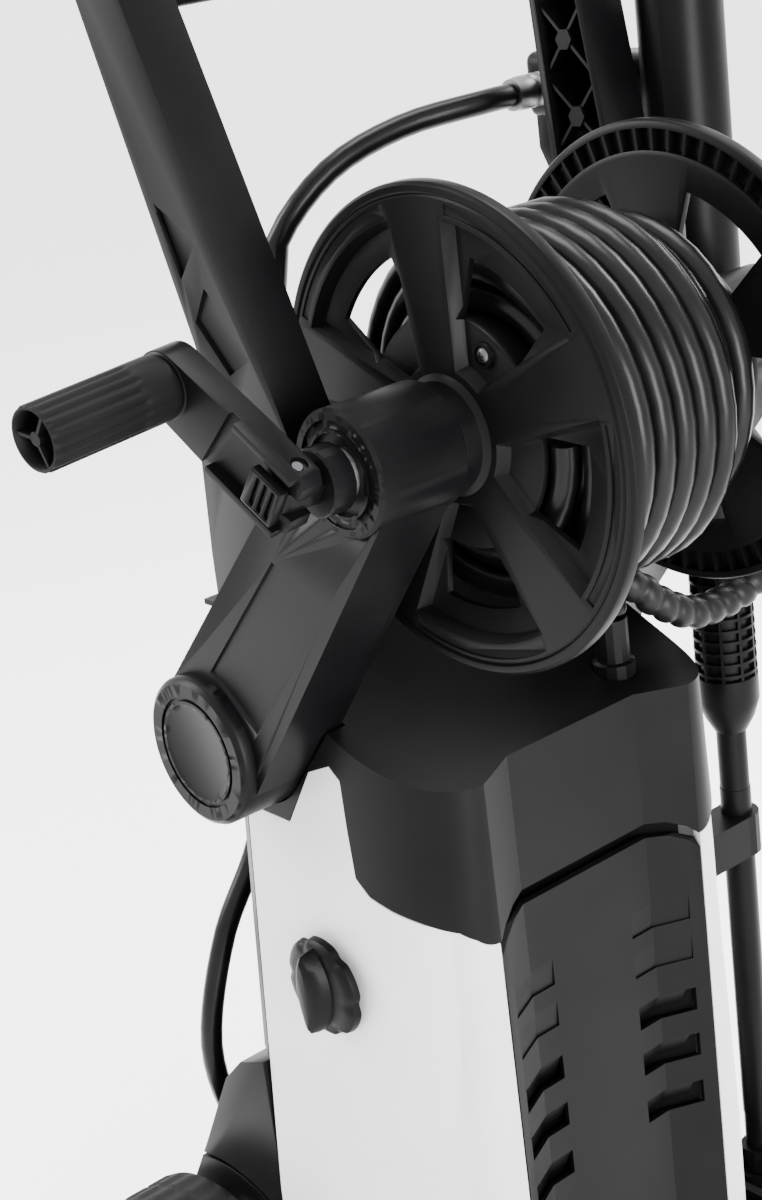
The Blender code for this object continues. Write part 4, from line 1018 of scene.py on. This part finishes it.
def add_gun():
    body = [(0, 0.250), (0.0130, 0.250), (0.0190, 0.2465), (0.0225, 0.2400), (BARREL_R, 0.2310)]
    body += [(BARREL_R, 0.1800), (0.0228, 0.1792), (0.0228, 0.1780), (BARREL_R, 0.1772), (BARREL_R, 0.0200)]
    body += [(0.0220, -0.0080), (0.0195, -0.0280), (0, -0.0280)]
    gun = lathe("gun", body, "Z", GUN, 72)
    grip = box("grip", (GUN.x - 0.0125, GUN.y + 0.010, 0.100), (GUN.x + 0.0125, 0.178, 0.137))
    guard = [(0.0850, 0.0460), (0.1300, 0.0505), (0.1500, 0.0550), (0.1680, 0.0670), (0.1760, 0.0820)]
    guard += [(0.1760, 0.1050), (0.1680, 0.1050), (0.1680, 0.0850), (0.1620, 0.0730), (0.1470, 0.0625)]
    guard += [(0.1290, 0.0580), (0.0850, 0.0530)]
    guard = prism("guard", guard, GUN.x - 0.007, GUN.x + 0.007)
    soften(grip, 0.006, 4)
    combine(gun, [grip, guard], "UNION")
    combine(gun, gun_cuts())
    soften(gun, 0.0006)
    moulded(gun, "gun_body")


def add_lance():
    """The lance's ribbed grip over its smooth core, and the pipe below it."""
    core = [(0, -0.0283), (0.0190, -0.0283), (0.0195, -0.0300), (0.0195, -0.0900), (0.0185, -0.1050)]
    core += [(0.0185, -0.1280), (0.0160, -0.1290), (0.0160, -0.2250), (0.0185, -0.2260), (0.0185, -0.2420)]
    core += [(0.0150, -0.2530), (0.0100, -0.2620), (0, -0.2620)]
    pieces = [lathe("lance_shroud", core, "Z", GUN, 64)]
    for i in range(14):
        z = -0.1300 - 0.0071 * i
        hoop = [(0.0155, z + 0.0009), (0.0185, z + 0.0009), (0.0185, z - 0.0009), (0.0155, z - 0.0009)]
        pieces.append(lathe("hoop", hoop, "Z", GUN, 64, ring=True))
    for i in range(10):
        bar = box("bar", (0.0155, -0.0009, -0.2255), (0.0184, 0.0009, -0.1285))
        bar.data.transform(Matrix.Translation(GUN) @ Matrix.Rotation(math.tau * i / 10, 4, "Z"))
        pieces.append(bar)
    moulded(merged("lance_shroud", pieces), "lance_grip")
    pipe = [(0, -0.2625), (0.0090, -0.2625), (0.0090, -0.3000), (0.0094, -0.3004), (0.0094, -0.5300)]
    pipe += [(0.0090, -0.5310), (0.0090, -0.5545), (0, -0.5545)]
    moulded(lathe("lance_pipe", pipe, "Z", GUN, 48), "lance_tube")


def add_link_hose():
    """The wrapped hose between the hood and the reel's swivel."""
    link = [(0.1715, 0, -0.0412), (0.1715, 0, -0.050), (0.184, 0.006, -0.078), (0.189, 0.012, -0.105)]
    link += [(0.183, 0.020, -0.130), (0.169, 0.026, -0.148), (0.150, 0.029, -0.158)]
    link += [(0.128, 0.030, -0.161), (0.105, 0.030, -0.158), (0.083, 0.032, -0.145)]
    link += [(0.069, 0.038, -0.131), (0.061, 0.046, -0.134), (0.060, 0.047, -0.1455)]
    core, wrap, pitch = 0.0080, 0.0016, 0.0125

    def wrapped(walked, part):
        """The radius, where a flat band winds round the hose with a gap between its turns."""
        phase = (walked / pitch - part) % 1.0
        return core + wrap * math.sin(math.pi * min(1.0, phase / 0.82)) ** 0.5 if phase < 0.82 else core

    path = smooth_route([Vector(p) for p in link], 0.0014)
    hose = skin("wrapped_hose", hoops(path, wrapped, 28, Vector((1, 0, 0))))
    place(hose, WRAP, "chassis", "hose_rubber", ["link_hose"], 60)


# ---- base, wheels and handle ------------------------------------------------------------------------
def add_base():
    outline = [(-0.004, 0.046), (0, 0.036), (0.010, 0.034), (0.190, 0.034), (0.235, 0.046)]
    outline += [(0.258, 0.066), (0.266, 0.084), (0.268, 0.150), (0.262, 0.175), (0.240, 0.212)]
    outline += [(0.208, 0.268), (0.190, 0.286), (0.1655, 0.2955), (0.1655, 0.1265)]
    outline += [(0.006, 0.1265), (-0.004, 0.1180)]
    base = prism("chassis_base", [(y, FLOOR + z) for y, z in outline], -0.131, 0.131)
    cuts = [box("front", (-0.125, 0.004, FLOOR + 0.042), (0.125, 0.168, FLOOR + 0.2))]
    cuts.append(box("rear", (-0.105, 0.160, FLOOR + 0.042), (0.105, 0.196, FLOOR + 0.4)))
    cuts.append(rod("axle", 0.0063, -0.2, 0.2, "X", WHEEL, 32))
    lip = arc(WHEEL.y, WHEEL.z, 0.106, 0, 180, 24) + arc(WHEEL.y, WHEEL.z, 0.1035, 180, 0, 24)
    cuts += [prism("arch", lip, *sorted((side * 0.1285, side * 0.14))) for side in (-1, 1)]
    combine(base, cuts)
    soften(base, 0.0035, 3, 40)
    moulded(base, "base")


WHEEL_IN, WHEEL_OUT = 0.137, 0.179


def tread(angle, radius, height):
    """How far the tyre's blocks go in, on its running face only. The outer row is turned a little."""
    if radius < WHEEL_R - 0.0005:
        return 0.0
    wave = math.cos(36 * angle + (6 if height > 0.158 else 0))
    return -0.0014 * max(0.0, min(1.0, 4 * wave + 0.5))


def tyre_shape():
    x0, x1 = WHEEL_IN, WHEEL_OUT
    outside = [(0.0862, x1 - 0.001), (0.0900, x1), (0.0930, x1 - 0.0008), (0.0950, x1 - 0.003)]
    outside += [(WHEEL_R, x1 - 0.007), (WHEEL_R, 0.1600), (0.0945, 0.1590), (0.0945, 0.1570)]
    outside += [(WHEEL_R, 0.1560), (WHEEL_R, x0 + 0.007), (0.0950, x0 + 0.003), (0.0930, x0 + 0.0008)]
    outside += [(0.0900, x0), (0.0862, x0 + 0.001)]
    return lathe("wheel_tyre_left", outside, "-X", WHEEL, 216, ring=True, ripple=tread)


def wheel_disc():
    x0, x1 = WHEEL_IN, WHEEL_OUT
    disc = [(0, x1 + 0.001), (0.0120, x1 + 0.001), (0.0140, x1), (0.0180, x1 - 0.003), (0.0220, x1 - 0.012)]
    disc += [(0.0720, x1 - 0.012), (0.0810, x1 - 0.0025), (0.0840, x1 - 0.0012), (0.0855, x1 - 0.0016)]
    disc += [(0.0855, x0 + 0.001), (0.0810, x0 + 0.001), (0.0740, x1 - 0.016), (0.0200, x1 - 0.016)]
    disc += [(0.0180, x0 + 0.001), (0.0063, x0 + 0.001), (0.0063, x1 - 0.004), (0, x1 - 0.004)]
    disc = lathe("wheel_hub_left", disc, "-X", WHEEL)
    cuts = []
    for i in range(6):
        middle = math.tau * i / 6
        outer = [(0.062, middle - 0.36 + 0.72 * k / 8) for k in range(9)]
        inner = [(0.032, middle + 0.28 - 0.56 * k / 5) for k in range(6)]
        ring = [(WHEEL.y + r * math.cos(a), WHEEL.z + r * math.sin(a)) for r, a in outer + inner]
        cuts.append(prism("gap", ring, -0.2, -0.15))
    combine(disc, cuts)
    return soften(disc, 0.0009)


def add_wheels():
    tyre, disc = tyre_shape(), wheel_disc()
    place_pair(tyre, TYRE, ("wheel_left", "wheel_right"), "tyre_rubber", "tyre")
    place_pair(disc, BLACK, ("wheel_left", "wheel_right"), "black_moulding", "wheel")


def add_handle():
    foot_x = 0.121 + SPLAY * UPRIGHT_TOP
    foot_y = (front_edge(UPRIGHT_TOP) + 0.148) / 2
    half = [(foot_x, foot_y, UPRIGHT_TOP + 0.0024), (foot_x, foot_y, UPRIGHT_TOP + 0.011)]
    half += [(foot_x - 0.002, foot_y + 0.006, 0.296), (foot_x - 0.014, foot_y + 0.012, 0.315)]
    half += [(foot_x - 0.035, foot_y + 0.017, 0.327), (foot_x - 0.060, foot_y + 0.019, 0.330)]
    points = [Vector(p) for p in half] + [Vector((0, foot_y + 0.019, 0.330))]
    points += [Vector((-x, y, z)) for x, y, z in reversed(half)]
    path = smooth_route(points, 0.006)
    middle = length_of(path) / 2

    def ridged(walked, _part):
        """The radius, with fine ridges along the middle where the hand goes."""
        if abs(walked - middle) > 0.085:
            return 0.0121
        return 0.0129 + 0.0006 * math.sin(walked * math.tau / 0.012)

    handle = skin("handle_bar", hoops(path, ridged, 32, Vector((0, 1, 0))))
    moulded(handle, "push_handle", sharp=60)
    bottom, top = 0.203, 0.237
    reach = 0.106 + SPLAY * 0.207 - 0.0007
    front = front_edge(0.222) + 0.006
    bar = box("cross_bar", (-reach, front, bottom), (reach, front + 0.024, top))
    soften(bar, 0.005, 4)
    moulded(bar, "crossbar")


def dress_cad_nodes():
    """The CAD pieces that stay get their finished materials."""
    looks = {
        HOOD_BLACK: "back_cover",
        BLACK: "crank_hub reel_drum spray_nozzle lance_clip nozzle_cup",
        GRIP: "front_foot",
        STEEL: "axle arm_cross_tube plunger_1 plunger_2 plunger_3 riser_pipe",
        SCREW: "crank_fold_pin motor_rotor swash_plate",
        BRASS: "pump_head water_inlet",
        CAST: "motor_case motor_end_bell pump_body reel_shaft",
        GREY: "switch_box cooling_fan trigger_lock",
        HOSE: "inlet_pipe",
    }
    looks[BLACK] += " trigger cable_gland swivel_elbow outlet_port"
    for look, names in looks.items():
        for name in names.split():
            mesh = frame["nodes"][name].data
            mesh.materials.clear()
            mesh.materials.append(look)
            mesh.polygons.foreach_set("material_index", [0] * len(mesh.polygons))


add_camera()
add_studio()
add_cords()
add_flanges()
add_arms()
add_crank()
add_hood()
add_side_cover(-1, "cover_left")
add_side_cover(1, "cover_right")
add_front_panel()
add_knob()
add_uprights()
add_gun()
add_lance()
add_link_hose()
add_base()
add_wheels()
add_handle()
dress_cad_nodes()
